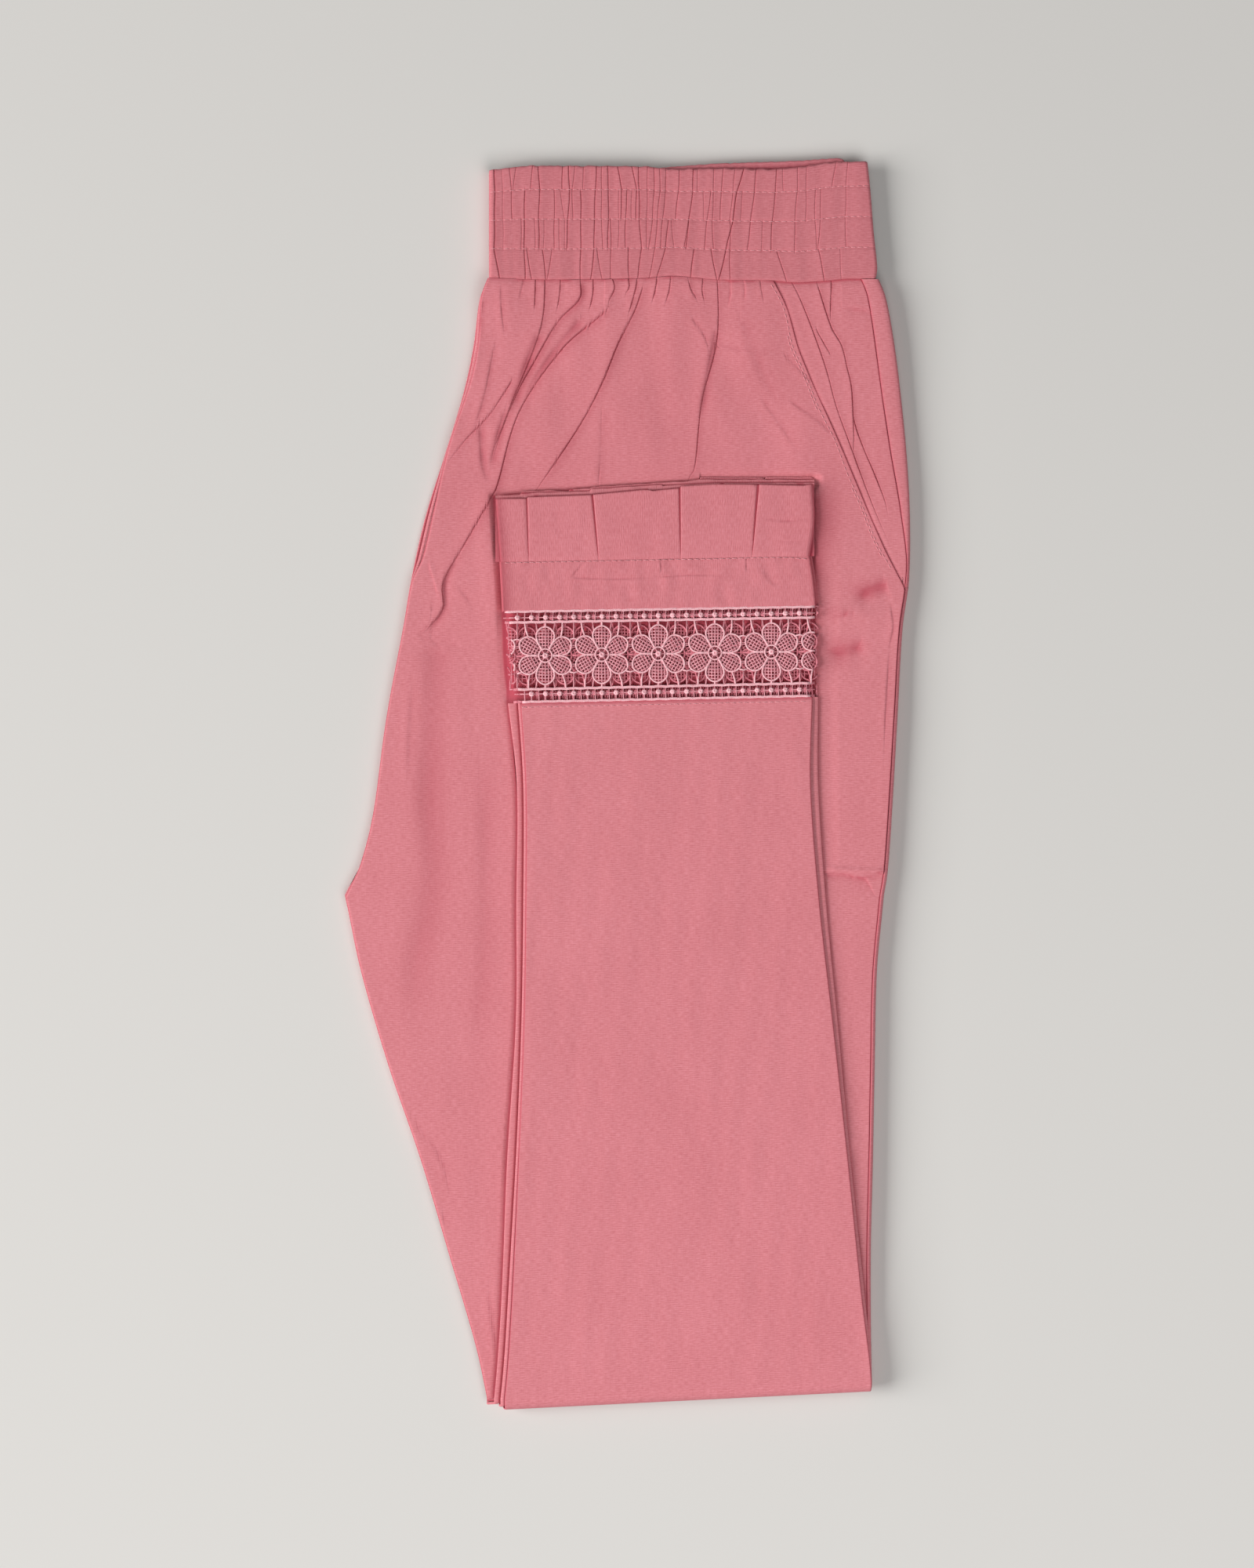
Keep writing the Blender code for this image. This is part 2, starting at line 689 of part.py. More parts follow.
HIP_ROWS = [WAIST_Y - HALF_GAP - step for step in (0.0, 1.8, 4.6, 8.0, 12.0)]
HIP_ROWS += [WAIST_Y - 16.5 - 4.9 * step for step in range(16)]
THIGH_ROWS = [131.0, 122.0, 113.0, 104.0, 95.0, 86.0, 76.0, 66.0, 54.0, 30.0, 8.0, -14.0]
THIGH_ROWS += [-34.0, -37.6, -39.6, -41.6, -46.0, -50.4, -55.0, -64.0, -90.0, -130.0]
THIGH_ROWS += [-172.0, -215.0, -250.0]
LEFT_FRONT_COLUMNS = 64
PANEL_COLUMNS = 3
LEFT_CALF_ROWS = 9
RIGHT_CALF_ROWS = 12
BACK_CALF_ROWS = 10
POCKET_COLUMNS = 14
BACK_TOP_ROWS = [229.0, 223.0, 213.0, 202.0, 190.0, 180.0, 170.0, 160.0, 151.0, 141.0]


def make_left_front():
    """The front panel on top: thigh with the hip's folds, knee turn and hidden calf."""
    rows = []

    def relief(x, y):
        return front_relief(x, y) + bag_ridge(x, y)

    for station in lower_stations(HIP_ROWS + THIGH_ROWS, wave=1.0):
        left = top_front_left(station)
        right = top_front_seam(station)
        if station.y > POCKET_END_Y - POCKET_OVERLAP:
            right = min(right, slant(station.y) - HALF_GAP)
        layer = lifted(LEFT_FRONT, station.y)
        rows.append(
            panel_row(station, left, right, layer, LEFT_FRONT_COLUMNS, inner_relief=relief)
        )
    end_y = LACE_BOTTOM.y - HALF_GAP
    for station in turn_stations() + upper_stations(end_y, LACE_BOTTOM.slope, LEFT_CALF_ROWS):
        left = top_front_left(station)
        right = top_front_seam(station)
        rows.append(panel_row(station, left, right, LEFT_FRONT, LEFT_FRONT_COLUMNS))
    band("left_front", rows, cloth)


def make_pocket_side(name, layer, seam_inset, raised):
    """The piece between the slanted pocket opening and the side seam of one leg."""
    rows = []

    def relief(x, y):
        puff = POCKET_PUFF * ease((y - POCKET_END_Y) / PUFF_FADE)
        edge_drop = POCKET_DROP * math.exp(-((x - slant(y)) / POCKET_DROP_HALF) ** 2)
        return clamp(puff - edge_drop + fold_relief(POCKET_FOLDS, x, y), 0.0, HIP_MAX_RELIEF)

    heights = [y for y in HIP_ROWS + THIGH_ROWS if y > POCKET_END_Y]
    for station in lower_stations(heights + [POCKET_END_Y], wave=1.0 if raised else 0.0):
        left = slant(station.y) + HALF_GAP
        right = thigh_edge(station.y, "right") - seam_inset(station.y)
        own = lifted(layer, station.y) if raised else layer
        face = relief if raised else None
        rows.append(panel_row(station, left, right, own, POCKET_COLUMNS, inner_relief=face))
    band(name, rows, cloth)


def make_right_front():
    """The front panel on the floor, turned round the knee into the visible calf."""
    rows = []
    for station in lower_stations(HIP_ROWS + THIGH_ROWS):
        right = floor_front_seam(station)
        if station.y > POCKET_END_Y - POCKET_OVERLAP:
            right = min(right, slant(station.y) - HALF_GAP)
        left = floor_front_left(station)
        rows.append(panel_row(station, left, right, RIGHT_FRONT, PANEL_COLUMNS))
    end_y = LACE_BOTTOM.y - HALF_GAP
    for station in turn_stations() + upper_stations(end_y, LACE_BOTTOM.slope, RIGHT_CALF_ROWS):
        left = floor_front_left(station)
        right = floor_front_seam(station)
        rows.append(panel_row(station, left, right, RIGHT_FRONT, PANEL_COLUMNS))
    band("right_front", rows, cloth)


Corner = namedtuple("Corner", "edge wrap rim")


def corner_points(corner, side, depth, middle):
    """One layer's edge in a section: flat face, raised rim over its neighbour, rounding.

    side is 1 at +X and -1 at -X. depth is the layer's face and middle the split line.
    """
    outward = math.copysign(1.0, depth - middle)
    rim_depth = depth + outward * corner.rim
    inner = corner.edge - side * corner.wrap
    return [
        (inner, depth),
        (inner + side * RIM_STEP, rim_depth),
        (corner.edge - side * RIM_ROUND, rim_depth),
        (corner.edge, mix(rim_depth, middle, RIM_FALL)),
        (corner.edge - side * EDGE_TUCK, mix(depth, middle, EDGE_FALL)),
    ]


def layered_ring(outer_right, inner_right, inner_left, outer_left, layer):
    """Section of two hidden layers in one solid, with a notch between their edges."""
    middle = (layer.inner + layer.outer) / 2
    right_notch = min(outer_right.edge, inner_right.edge) - NOTCH_DEPTH
    left_notch = max(outer_left.edge, inner_left.edge) + NOTCH_DEPTH
    ring = corner_points(outer_right, 1, layer.outer, middle)
    ring.append((right_notch, middle))
    ring += reversed(corner_points(inner_right, 1, layer.inner, middle))
    ring += corner_points(inner_left, -1, layer.inner, middle)
    ring.append((left_notch, middle))
    ring += reversed(corner_points(outer_left, -1, layer.outer, middle))
    return ring


def back_ring(station):
    """Section of the two back panels on one row, wrapping the fronts' seams."""
    if is_upper(station):
        floor_left = floor_front_left(station)
        leg_left = on_row(station, lambda y: read(CALF_WIDTHS, y, "left_leg_left"))
        leg_right = on_row(station, lambda y: read(CALF_WIDTHS, y, "left_leg_right"))
        outer_right = Corner(floor_front_seam(station), PLAIN_WRAP, 0.0)
        inner_right = Corner(leg_right, PLAIN_WRAP, 0.0)
        inner_left = Corner(leg_left, PLAIN_WRAP, 0.0)
        outer_left = Corner(floor_left - CALF_SEAM_WRAP, CALF_SEAM_WRAP - HALF_GAP, RIM)
        layer = BACKS
    else:
        left = on_row(station, lambda y: thigh_edge(y, "left"))
        right = on_row(station, lambda y: thigh_edge(y, "right"))
        peek = top_front_left(station) - left
        share = ease((SLOPE_START_Y - station.y) / (SLOPE_START_Y - TURN_Y))
        start_share = 1.0 - ease(2.0 * (station.turn / math.pi))
        wrap = right - top_front_seam(station) - SEAM_GAP
        rim = RIM * start_share
        outer_right = Corner(right, FLOOR_SEAM_INSET - SEAM_GAP, rim)
        inner_right = Corner(right, wrap, rim)
        peeking = left + PEEK_SHARE * peek
        inner_left = Corner(peeking, PLAIN_WRAP, 0.0)
        outer_left = Corner(mix(peeking, KNEE_LEFT, share), PLAIN_WRAP, 0.0)
        layer = Layer(BACKS.inner - hip_lift(station.y), BACKS.outer)
    ring = layered_ring(outer_right, inner_right, inner_left, outer_left, layer)
    return [place(station, x, depth) for x, depth in ring]


def make_back_panels():
    """Both back panels, hidden between the fronts, as one solid layered at its edges."""
    rows = lower_stations(BACK_TOP_ROWS + THIGH_ROWS) + turn_stations()
    rows += upper_stations(LACE_BOTTOM.y - HALF_GAP, LACE_BOTTOM.slope, BACK_CALF_ROWS)
    loft("back_panels", [back_ring(station) for station in rows], cloth)


# Waistband

def band_right(share):
    """Right edge of the waistband at a share of its height."""
    return read(BAND_RIGHT, share, "right")


def gather_columns():
    """Places across the waistband with the share of each gather's height there."""
    columns = []
    for gather, following in zip(GATHERS, GATHERS[1:]):
        step = following.x - gather.x
        for point in GATHER_SHAPE:
            columns.append((gather.x + point.share * step, point.rise * gather.rise))
    columns.append((GATHERS[-1].x, 0.0))
    return columns


def stitch_factor(share):
    """Lower the gathers where a row of stitching holds them down."""
    pinch = sum(math.exp(-((share - row) / STITCH_WIDTH) ** 2) for row in STITCH_ROWS)
    return 1.0 - STITCH_PINCH * pinch


def band_row(share):
    """Paired points of the waistband's outer and inner faces, from top wall to floor wall."""
    right = band_right(share)
    outer = []
    inner = []
    rounding = BAND_EDGE_ROUND if share in (0.0, 1.0) else 0.0

    def add(x, outer_z, inner_x, inner_z, seam=WAIST_Y):
        y = mix(seam + HALF_GAP, read(WAIST_EDGES, x, "front_top"), share)
        outer.append((x, y, outer_z))
        inner.append((inner_x, y, inner_z))

    def add_top(x, outer_z, inner_x, inner_z):
        add(x, outer_z, inner_x, inner_z, read(WAIST_EDGES, x, "seam"))

    top_inner = BAND_TOP_Z - BAND_WALL
    lip_x = right - BAND_INNER_CORNER
    add_top(right, top_inner + BAND_LIP, right, top_inner + BAND_LIP_INNER)
    add_top(lip_x, BAND_TOP_Z - rounding, lip_x, top_inner)
    for x, rise in reversed(gather_columns()):
        lean = BAND_LEAN * ease((x - BAND_LEAN_START_X) / BAND_LEAN_SPAN)
        leaning = x + lean * (share - 0.5)
        raised = BAND_TOP_Z - rounding + rise * stitch_factor(share)
        add_top(leaning, raised, leaning, top_inner)
    inner_left = BAND_LEFT + BAND_WALL
    add_top(BAND_LEFT + BAND_CORNER, BAND_TOP_Z - rounding, inner_left, top_inner)
    add_top(BAND_LEFT, BAND_TOP_Z - BAND_WALL, inner_left, top_inner - BAND_INNER_CORNER)
    add(BAND_LEFT, BAND_WALL, inner_left, BAND_WALL + BAND_INNER_CORNER)
    add(BAND_LEFT + BAND_CORNER, 0.0, inner_left, BAND_WALL)
    add(lip_x, 0.0, lip_x, BAND_WALL)
    add(right, BAND_WALL - BAND_LIP, right, BAND_WALL - BAND_LIP_INNER)
    return outer, inner


def make_waistband():
    """The gathered waistband: the front round the outside, the back between its walls."""
    band("waistband_front", [band_row(share) for share in BAND_SHARES], band_cloth)

    low = BAND_WALL + SEAM_GAP
    high = BAND_TOP_Z - BAND_WALL - SEAM_GAP
    left = BAND_LEFT + BAND_WALL + SEAM_GAP
    ends = [left, left + BAND_BACK_END, *BAND_BACK_ENDS]
    inner = [row.x for row in WAIST_EDGES if ends[1] < row.x < ends[2]]
    stations = sorted(ends + inner)
    rings = []
    for x in stations:
        trim = BAND_BACK_TRIM if x in (stations[0], stations[-1]) else 0.0
        seam = read(WAIST_EDGES, x, "seam") + BAND_BACK_SEAM_GAP
        top = read(WAIST_EDGES, x, "back_top")
        ring = [(x, seam, low + trim)]
        for edge in BACK_TOP_SHAPE:
            z = clamp(mix(low, high, edge.share), low + trim, high - trim)
            ring.append((x, top - edge.drop, z))
        ring.append((x, seam, high - trim))
        rings.append(ring)
    loft("waistband_back", rings, band_cloth)


# Lace, hem bands and frills

def gap_polygons():
    """Outlines of the gaps of one flower and the link at its right, about its centre."""
    gaps = [list(LINK_GAP)]
    for flip_y in (1, -1):
        gaps.append([GapCorner(c.x, flip_y * c.y) for c in VALLEY_GAP])
        for flip_x in (1, -1):
            gaps.append([GapCorner(flip_x * c.x, flip_y * c.y) for c in PETAL_GAP])
    return gaps


def make_lace(name, strip, low_z, high_z):
    """A flat strip of lace from a filled outline with its wide gaps left open."""
    bottom = LACE_BOTTOM.y + HALF_GAP
    top = LACE_TOP.y - HALF_GAP
    outline = [
        (strip.left_bottom, bottom + LACE_BOTTOM.slope * strip.left_bottom),
        (strip.right_bottom, bottom + LACE_BOTTOM.slope * strip.right_bottom),
        (strip.right_top, top + LACE_TOP.slope * strip.right_top),
        (strip.left_top, top + LACE_TOP.slope * strip.left_top),
    ]
    loops = [outline]
    safe_left = max(strip.left_bottom, strip.left_top) + LACE_RIM
    safe_right = min(strip.right_bottom, strip.right_top) - LACE_RIM
    for number in range(-FLOWER_COUNT // 2, FLOWER_COUNT // 2):
        centre_x = LACE_FLOWER_X + strip.shift + number * LACE_PITCH
        centre_y = LACE_FLOWER_Y + LACE_TOP.slope * (centre_x - LACE_FLOWER_X)
        for gap in gap_polygons():
            corners = [(centre_x + c.x, centre_y + c.y) for c in gap]
            if all(safe_left < x < safe_right for x, _ in corners):
                loops.append(corners)

    curve = bpy.data.curves.new(name, "CURVE")
    curve.dimensions = "2D"
    curve.fill_mode = "BOTH"
    curve.extrude = (high_z - low_z) / 2 * MM
    for corners in loops:
        spline = curve.splines.new("POLY")
        spline.points.add(len(corners) - 1)
        spline.use_cyclic_u = True
        for point, (x, y) in zip(spline.points, corners):
            point.co = (x * MM, y * MM, 0.0, 1.0)
    outline_object = bpy.data.objects.new(name + "_outline", curve)
    outline_object.location.z = (low_z + high_z) / 2 * MM
    collection.objects.link(outline_object)
    evaluated = outline_object.evaluated_get(bpy.context.evaluated_depsgraph_get())
    mesh = bpy.data.meshes.new_from_object(evaluated)
    mesh.name = name
    body = bpy.data.objects.new(name, mesh)
    body.matrix_world = outline_object.matrix_world
    body.location.z = (low_z + high_z) / 2 * MM
    collection.objects.link(body)
    bpy.data.objects.remove(outline_object)
    bm = bmesh.new()
    bm.from_mesh(mesh)
    bmesh.ops.remove_doubles(bm, verts=bm.verts, dist=WELD_DISTANCE)
    bm.to_mesh(mesh)
    bm.free()
    mesh.materials.clear()
    mesh.materials.append(lace)


UNDER_LOW = TURN_Z + LEFT_FRONT.inner
UNDER_HIGH = TURN_Z + BACKS.outer
TOP_LOW = TURN_Z + RIGHT_FRONT.inner
TOP_HIGH = TURN_Z + RIGHT_FRONT.outer


def make_laces():
    """The lace of the right leg's front and back, and that of the left leg under them."""
    split_z = UNDER_HIGH - CLOTH
    make_lace("lace_right_front", RIGHT_FRONT_STRIP, TOP_LOW, TOP_HIGH)
    make_lace("lace_right_back", RIGHT_BACK_STRIP, split_z, UNDER_HIGH)
    make_lace("lace_left", LEFT_STRIP, UNDER_LOW, split_z - SEAM_GAP)


def make_hem_bands():
    """The plain bands between lace and frill: one on top, and one for the three below."""
    bottom = LACE_TOP.y + HALF_GAP
    top = FRILL_SEAM.y - HALF_GAP
    rows = []
    rings = []
    under = Layer(LEFT_FRONT.inner, BACKS.outer)
    for edge in HEM_EDGES:
        slope = mix(LACE_TOP.slope, FRILL_SEAM.slope, edge.share)
        station = Station(mix(bottom, top, edge.share), slope, math.pi, 0.0)
        rows.append(panel_row(station, edge.left, edge.right, RIGHT_FRONT, PANEL_COLUMNS))
        ring = layered_ring(
            Corner(edge.right + HEM_RIGHT.outer, PLAIN_WRAP, 0.0),
            Corner(edge.right + HEM_RIGHT.inner, PLAIN_WRAP, 0.0),
            Corner(edge.left - HEM_LEFT.inner, PLAIN_WRAP, 0.0),
            Corner(edge.left - HEM_LEFT.outer, PLAIN_WRAP, 0.0),
            under,
        )
        rings.append([place(station, x, depth) for x, depth in ring])
    band("hem_band_right_front", rows, cloth)
    loft("hem_band_under", rings, cloth)


def frill_profile():
    """Columns across the top frill with the height of its pleated outer face."""
    edges = (FRILL_LEFT_TOP,) + FRILL_PLEATS + (FRILL_RIGHT_TOP,)
    columns = []
    for number, (start, end) in enumerate(zip(edges, edges[1:])):
        raised = PLEAT_RISE if number > 0 else FIRST_PLEAT_RISE
        lap = end - PLEAT_LAP * (end - start)
        columns.append((start + (PLEAT_STEP if number > 0 else PLEAT_EDGE), raised))
        columns.append((mix(start, lap, PLEAT_CREST), raised * PLEAT_CREST_SHARE))
        columns.append((lap, PLEAT_FOOT))
        columns.append((end - (PLEAT_EDGE if end == FRILL_RIGHT_TOP else PLEAT_STEP), 0.0))
    return columns


def make_top_frill():
    """The knife-pleated frill on top."""
    rows = []
    profile = frill_profile()
    for share in FRILL_SHARES:
        left = mix(FRILL_LEFT_SEAM, FRILL_LEFT_TOP, ease(share / FRILL_LEFT_REACH))
        bulge = math.sin(math.pi * clamp(share))
        right = mix(FRILL_RIGHT_SEAM, FRILL_RIGHT_TOP, share)
        right += (FRILL_RIGHT_MIDDLE - FRILL_RIGHT_TOP) * bulge
        seam_y = FRILL_SEAM.y + HALF_GAP
        spread = (right - left) / (FRILL_RIGHT_TOP - FRILL_LEFT_TOP)
        relief_share = mix(FRILL_SEAM_RELIEF, 1.0, share)
        if share in (0.0, 1.0):
            relief_share -= FRILL_END_DROP
        up = []
        down = []
        ends = [(FRILL_LEFT_TOP, FRILL_SIDE_DROP), (FRILL_RIGHT_TOP, FRILL_SIDE_DROP)]
        columns = [ends[0], *profile, ends[1]]
        for number, (place_x, rise) in enumerate(columns):
            x = left + (place_x - FRILL_LEFT_TOP) * spread
            base_y = seam_y + FRILL_SEAM.slope * x
            y = mix(base_y, read(FRILL_EDGES, x, "front"), share)
            up.append((x, y, TOP_LOW + FRILL_WALL + rise * relief_share))
            at_side = number in (0, len(columns) - 1)
            down.append((x, y, TOP_LOW + (FRILL_SIDE_LIFT if at_side else 0.0)))
        rows.append((up, down))
    band("frill_right_front", rows, cloth)


def make_under_frills():
    """The three layers of frill under the top one, with a notch between their edges."""
    left = FRILL_LEFT_TOP - UNDER_FRILL_LEFT
    right = FRILL_RIGHT_TOP + UNDER_FRILL_RIGHT
    heights = [mix(UNDER_LOW, UNDER_HIGH, share) for share in UNDER_FRILL_LEVELS]
    rings = []
    for number in range(UNDER_FRILL_COLUMNS + 1):
        x = mix(left, right, number / UNDER_FRILL_COLUMNS)
        lap = UNDER_FRILL_END_LAP if number in (0, UNDER_FRILL_COLUMNS) else 0.0
        seam_y = FRILL_SEAM.y + HALF_GAP + FRILL_SEAM.slope * x
        lowest = read(FRILL_EDGES, x, "lowest") - lap
        third = read(FRILL_EDGES, x, "third") - lap
        second = read(FRILL_EDGES, x, "second") - lap
        rings.append((
            (x, seam_y, heights[0]),
            (x, lowest, heights[0]),
            (x, lowest, heights[1]),
            (x, min(third, lowest) - UNDER_FRILL_NOTCH, mix(heights[1], heights[2], 0.5)),
            (x, third, heights[2]),
            (x, third, heights[3]),
            (x, min(second, third) - UNDER_FRILL_NOTCH, mix(heights[3], heights[4], 0.5)),
            (x, second, heights[4]),
            (x, second, heights[5]),
            (x, seam_y, heights[5]),
        ))
    loft("frill_under", rings, cloth)


for leftover in list(bpy.data.objects):
    bpy.data.objects.remove(leftover)

collection = bpy.data.collections.new("straight_pants")
bpy.context.scene.collection.children.link(collection)
cloth = make_material("pink_cloth", CLOTH_PINK, CLOTH_ROUGHNESS)
band_cloth = make_material("pink_waistband", BAND_PINK, CLOTH_ROUGHNESS)
lace = make_material("pink_lace", LACE_PINK, LACE_ROUGHNESS)

make_left_front()
make_pocket_side(
    "left_pocket_side",
    LEFT_FRONT,
    lambda y: read(FRONT_INSETS, y, "seam_side"),
    raised=True,
)
make_pocket_side(
    "right_pocket_side", RIGHT_FRONT, lambda y: FLOOR_SEAM_INSET, raised=False
)
make_right_front()
make_back_panels()
make_waistband()
make_laces()
make_hem_bands()
make_top_frill()
make_under_frills()
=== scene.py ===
"""Dresses the folded straight pants: slubbed pink cotton, gathers, lace, stitching and studio.

The pants lie folded in half lengthwise and up at the knee, the left leg on the right one.
Every cloth piece is a thin sheet on the outer face of its solid, with its edges rolled over.
All sizes are in millimetres and turn into metres when a mesh or a material is made.
"""

import logging
import math
from dataclasses import dataclass
from enum import Enum
from typing import Callable, NamedTuple, Optional, Sequence

import bmesh
import bpy
import numpy as np
from bpy.types import ID, Material, Node, NodeSocket, NodeTree, Object
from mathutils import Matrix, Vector


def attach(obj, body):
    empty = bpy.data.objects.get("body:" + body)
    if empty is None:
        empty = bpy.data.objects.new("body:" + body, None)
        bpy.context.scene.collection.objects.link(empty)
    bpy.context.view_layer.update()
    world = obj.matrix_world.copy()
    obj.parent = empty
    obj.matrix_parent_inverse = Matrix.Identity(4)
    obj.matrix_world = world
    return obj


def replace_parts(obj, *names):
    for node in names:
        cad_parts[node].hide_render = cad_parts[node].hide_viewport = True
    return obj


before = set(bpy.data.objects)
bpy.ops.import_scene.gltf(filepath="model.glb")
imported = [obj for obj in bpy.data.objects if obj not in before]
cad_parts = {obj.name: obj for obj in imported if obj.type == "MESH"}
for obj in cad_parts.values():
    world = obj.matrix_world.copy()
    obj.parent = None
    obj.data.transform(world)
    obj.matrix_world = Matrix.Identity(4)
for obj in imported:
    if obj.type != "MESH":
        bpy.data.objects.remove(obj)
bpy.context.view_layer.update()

log = logging.getLogger("straight_pants")

MM = 0.001

Array = np.ndarray
Pair = tuple[float, float]
Points = Sequence[Sequence[float]]
Edge = Callable[[Array], Array]


class Table:
    """A short table of named columns, read along smooth curves through its rows."""

    def __init__(self, columns: str, *rows: Sequence[float]) -> None:
        """Keep the columns' names and the rows, in rising order of the first column."""
        self.names = columns.split()
        self.rows = np.array(sorted(rows), dtype=float)

    def __call__(self, column: str, at: Array) -> Array:
        """Read a column.

        Args:
            column: The column's name.
            at: Values of the first column. Outside the table the end value holds.

        Returns:
            The column's values there.
        """
        keys = self.rows[:, 0]
        values = self.rows[:, self.names.index(column)]
        ahead = np.minimum(np.arange(len(keys)) + 1, len(keys) - 1)
        behind = np.maximum(np.arange(len(keys)) - 1, 0)
        slopes = (values[ahead] - values[behind]) / (keys[ahead] - keys[behind])
        at = np.clip(np.asarray(at, dtype=float), keys[0], keys[-1])
        index = np.clip(np.searchsorted(keys, at, side="right") - 1, 0, len(keys) - 2)
        span = keys[index + 1] - keys[index]
        t = (at - keys[index]) / span
        return (
            (2 * t**3 - 3 * t**2 + 1) * values[index]
            + (t**3 - 2 * t**2 + t) * slopes[index] * span
            + (3 * t**2 - 2 * t**3) * values[index + 1]
            + (t**3 - t**2) * slopes[index + 1] * span
        )


def mix(first: Array, second: Array, share: Array) -> Array:
    """Go from one value to another by a share."""
    return first + (second - first) * share


def ease(value: Array) -> Array:
    """Go from 0 to 1 with flat ends."""
    share = np.clip(value, 0.0, 1.0)
    return share * share * (3 - 2 * share)


def bell(distance: Array, reach: float) -> Array:
    """Fall smoothly from 1 to 0 with the distance."""
    return np.exp(-((distance / reach) ** 2))


# Sizes of the folded pants, as in the solids

CLOTH = 1.2
SEAM_GAP = 0.3
TURN_Z = 5.6
TURN_Y = -278.9
TURN_SLOPE = 0.050
SLOPE_START_Y = -150.0
WAIST_Y = 231.5
SEAM_FADE = 16.0

LEFT_FRONT_FACE = 0.2
BACKS_INNER = LEFT_FRONT_FACE + CLOTH + SEAM_GAP
BACKS_OUTER = BACKS_INNER + 2 * CLOTH
RIGHT_FRONT_FACE = BACKS_OUTER + SEAM_GAP + CLOTH

HIP_WIDTHS = Table(
    "y left right",
    (232.0, -64.0, 115.4),
    (223.2, -67.7, 118.8),
    (201.6, -70.6, 122.8),
    (180.0, -75.2, 125.6),
    (151.2, -83.9, 128.5),
    (122.4, -92.9, 130.0),
    (93.6, -99.4, 129.6),
    (72.0, -103.0, 126.7),
    (28.8, -110.9, 124.2),
    (-14.4, -117.0, 121.7),
    (-36.0, -122.4, 120.2),
    (-44.6, -126.2, 119.2),
    (-50.4, -130.1, 118.1),
)
THIGH_WIDTHS = Table(
    "y left right",
    (-50.4, -130.1, 118.1),
    (-57.6, -128.5, 117.4),
    (-86.4, -122.4, 114.8),
    (-129.6, -109.8, 113.8),
    (-172.8, -95.0, 113.0),
    (-216.0, -82.1, 112.0),
    (-259.2, -69.5, 112.2),
    (-290.0, -63.0, 113.0),
)
CROTCH_Y = -50.4
FRONT_INSETS = Table(
    "y crotch_side seam_side",
    (232.0, 0.3, 8.2),
    (194.0, 2.3, 9.0),
    (156.0, 0.7, 7.7),
    (124.0, 3.3, 4.2),
    (104.0, 3.4, 1.8),
    (92.0, 0.5, 1.7),
    (-40.0, 0.3, 2.0),
    (-290.0, 0.3, 2.0),
)
FLOOR_SEAM_INSET = 2.2
CALF_WIDTHS = Table(
    "y top_left top_right under_left under_right",
    (40.0, -49.0, 85.0, -56.2, 87.8),
    (0.0, -46.4, 84.2, -51.8, 87.8),
    (-54.0, -46.4, 88.2, -52.0, 91.4),
    (-108.0, -47.2, 94.3, -52.2, 96.6),
    (-172.0, -49.7, 101.3, -56.2, 102.6),
    (-234.0, -52.6, 107.6, -58.7, 109.0),
    (-267.0, -54.7, 111.6, -60.8, 112.0),
    (-290.0, -57.0, 113.0, -63.0, 113.0),
)
CALF_WRAP = 1.9
WAIST_EDGES = Table(
    "x seam front_top back_top",
    (-66.0, 232.2, 281.2, 280.4),
    (-54.0, 231.7, 282.6, 281.6),
    (-45.7, 231.3, 283.5, 282.4),
    (-33.5, 231.1, 283.5, 282.4),
    (7.6, 231.8, 283.2, 282.6),
    (21.6, 232.8, 282.0, 283.6),
    (41.4, 231.1, 282.3, 285.0),
    (66.6, 230.7, 282.0, 285.9),
    (78.0, 229.9, 282.8, 286.3),
    (94.3, 230.9, 285.1, 287.4),
    (98.8, 231.4, 285.3, 287.3),
    (101.5, 231.6, 285.4, 284.4),
    (118.0, 231.5, 285.5, 284.4),
)
POCKET_SLANT = Table(
    "y x",
    (232.0, 67.0),
    (219.2, 73.1),
    (197.3, 79.6),
    (157.3, 97.2),
    (109.1, 117.7),
    (90.0, 127.4),
    (60.0, 142.0),
)
POCKET_END_Y = 99.0
LACE_BOTTOM = (38.1, 0.0215)
LACE_TOP = (79.9, 0.0167)
FRILL_SEAM = (102.9, 0.0180)
HIP_FLAT_Y = 141.0
HIP_FULL_Y = 226.0
HIP_RISE = 3.5


def thigh_edge(y: Array, side: str) -> Array:
    """Silhouette of the thighs at a height, with a corner at the crotch point."""
    return np.where(y > CROTCH_Y, HIP_WIDTHS(side, y), THIGH_WIDTHS(side, y))


def waist_seam(x: Array) -> Array:
    """Height of the wavy waist seam."""
    return WAIST_EDGES("seam", x)


def hip_lift(y: Array) -> Array:
    """How far the upper layers swell towards the gathered waist."""
    return HIP_RISE * ease((y - HIP_FLAT_Y) / (HIP_FULL_Y - HIP_FLAT_Y))


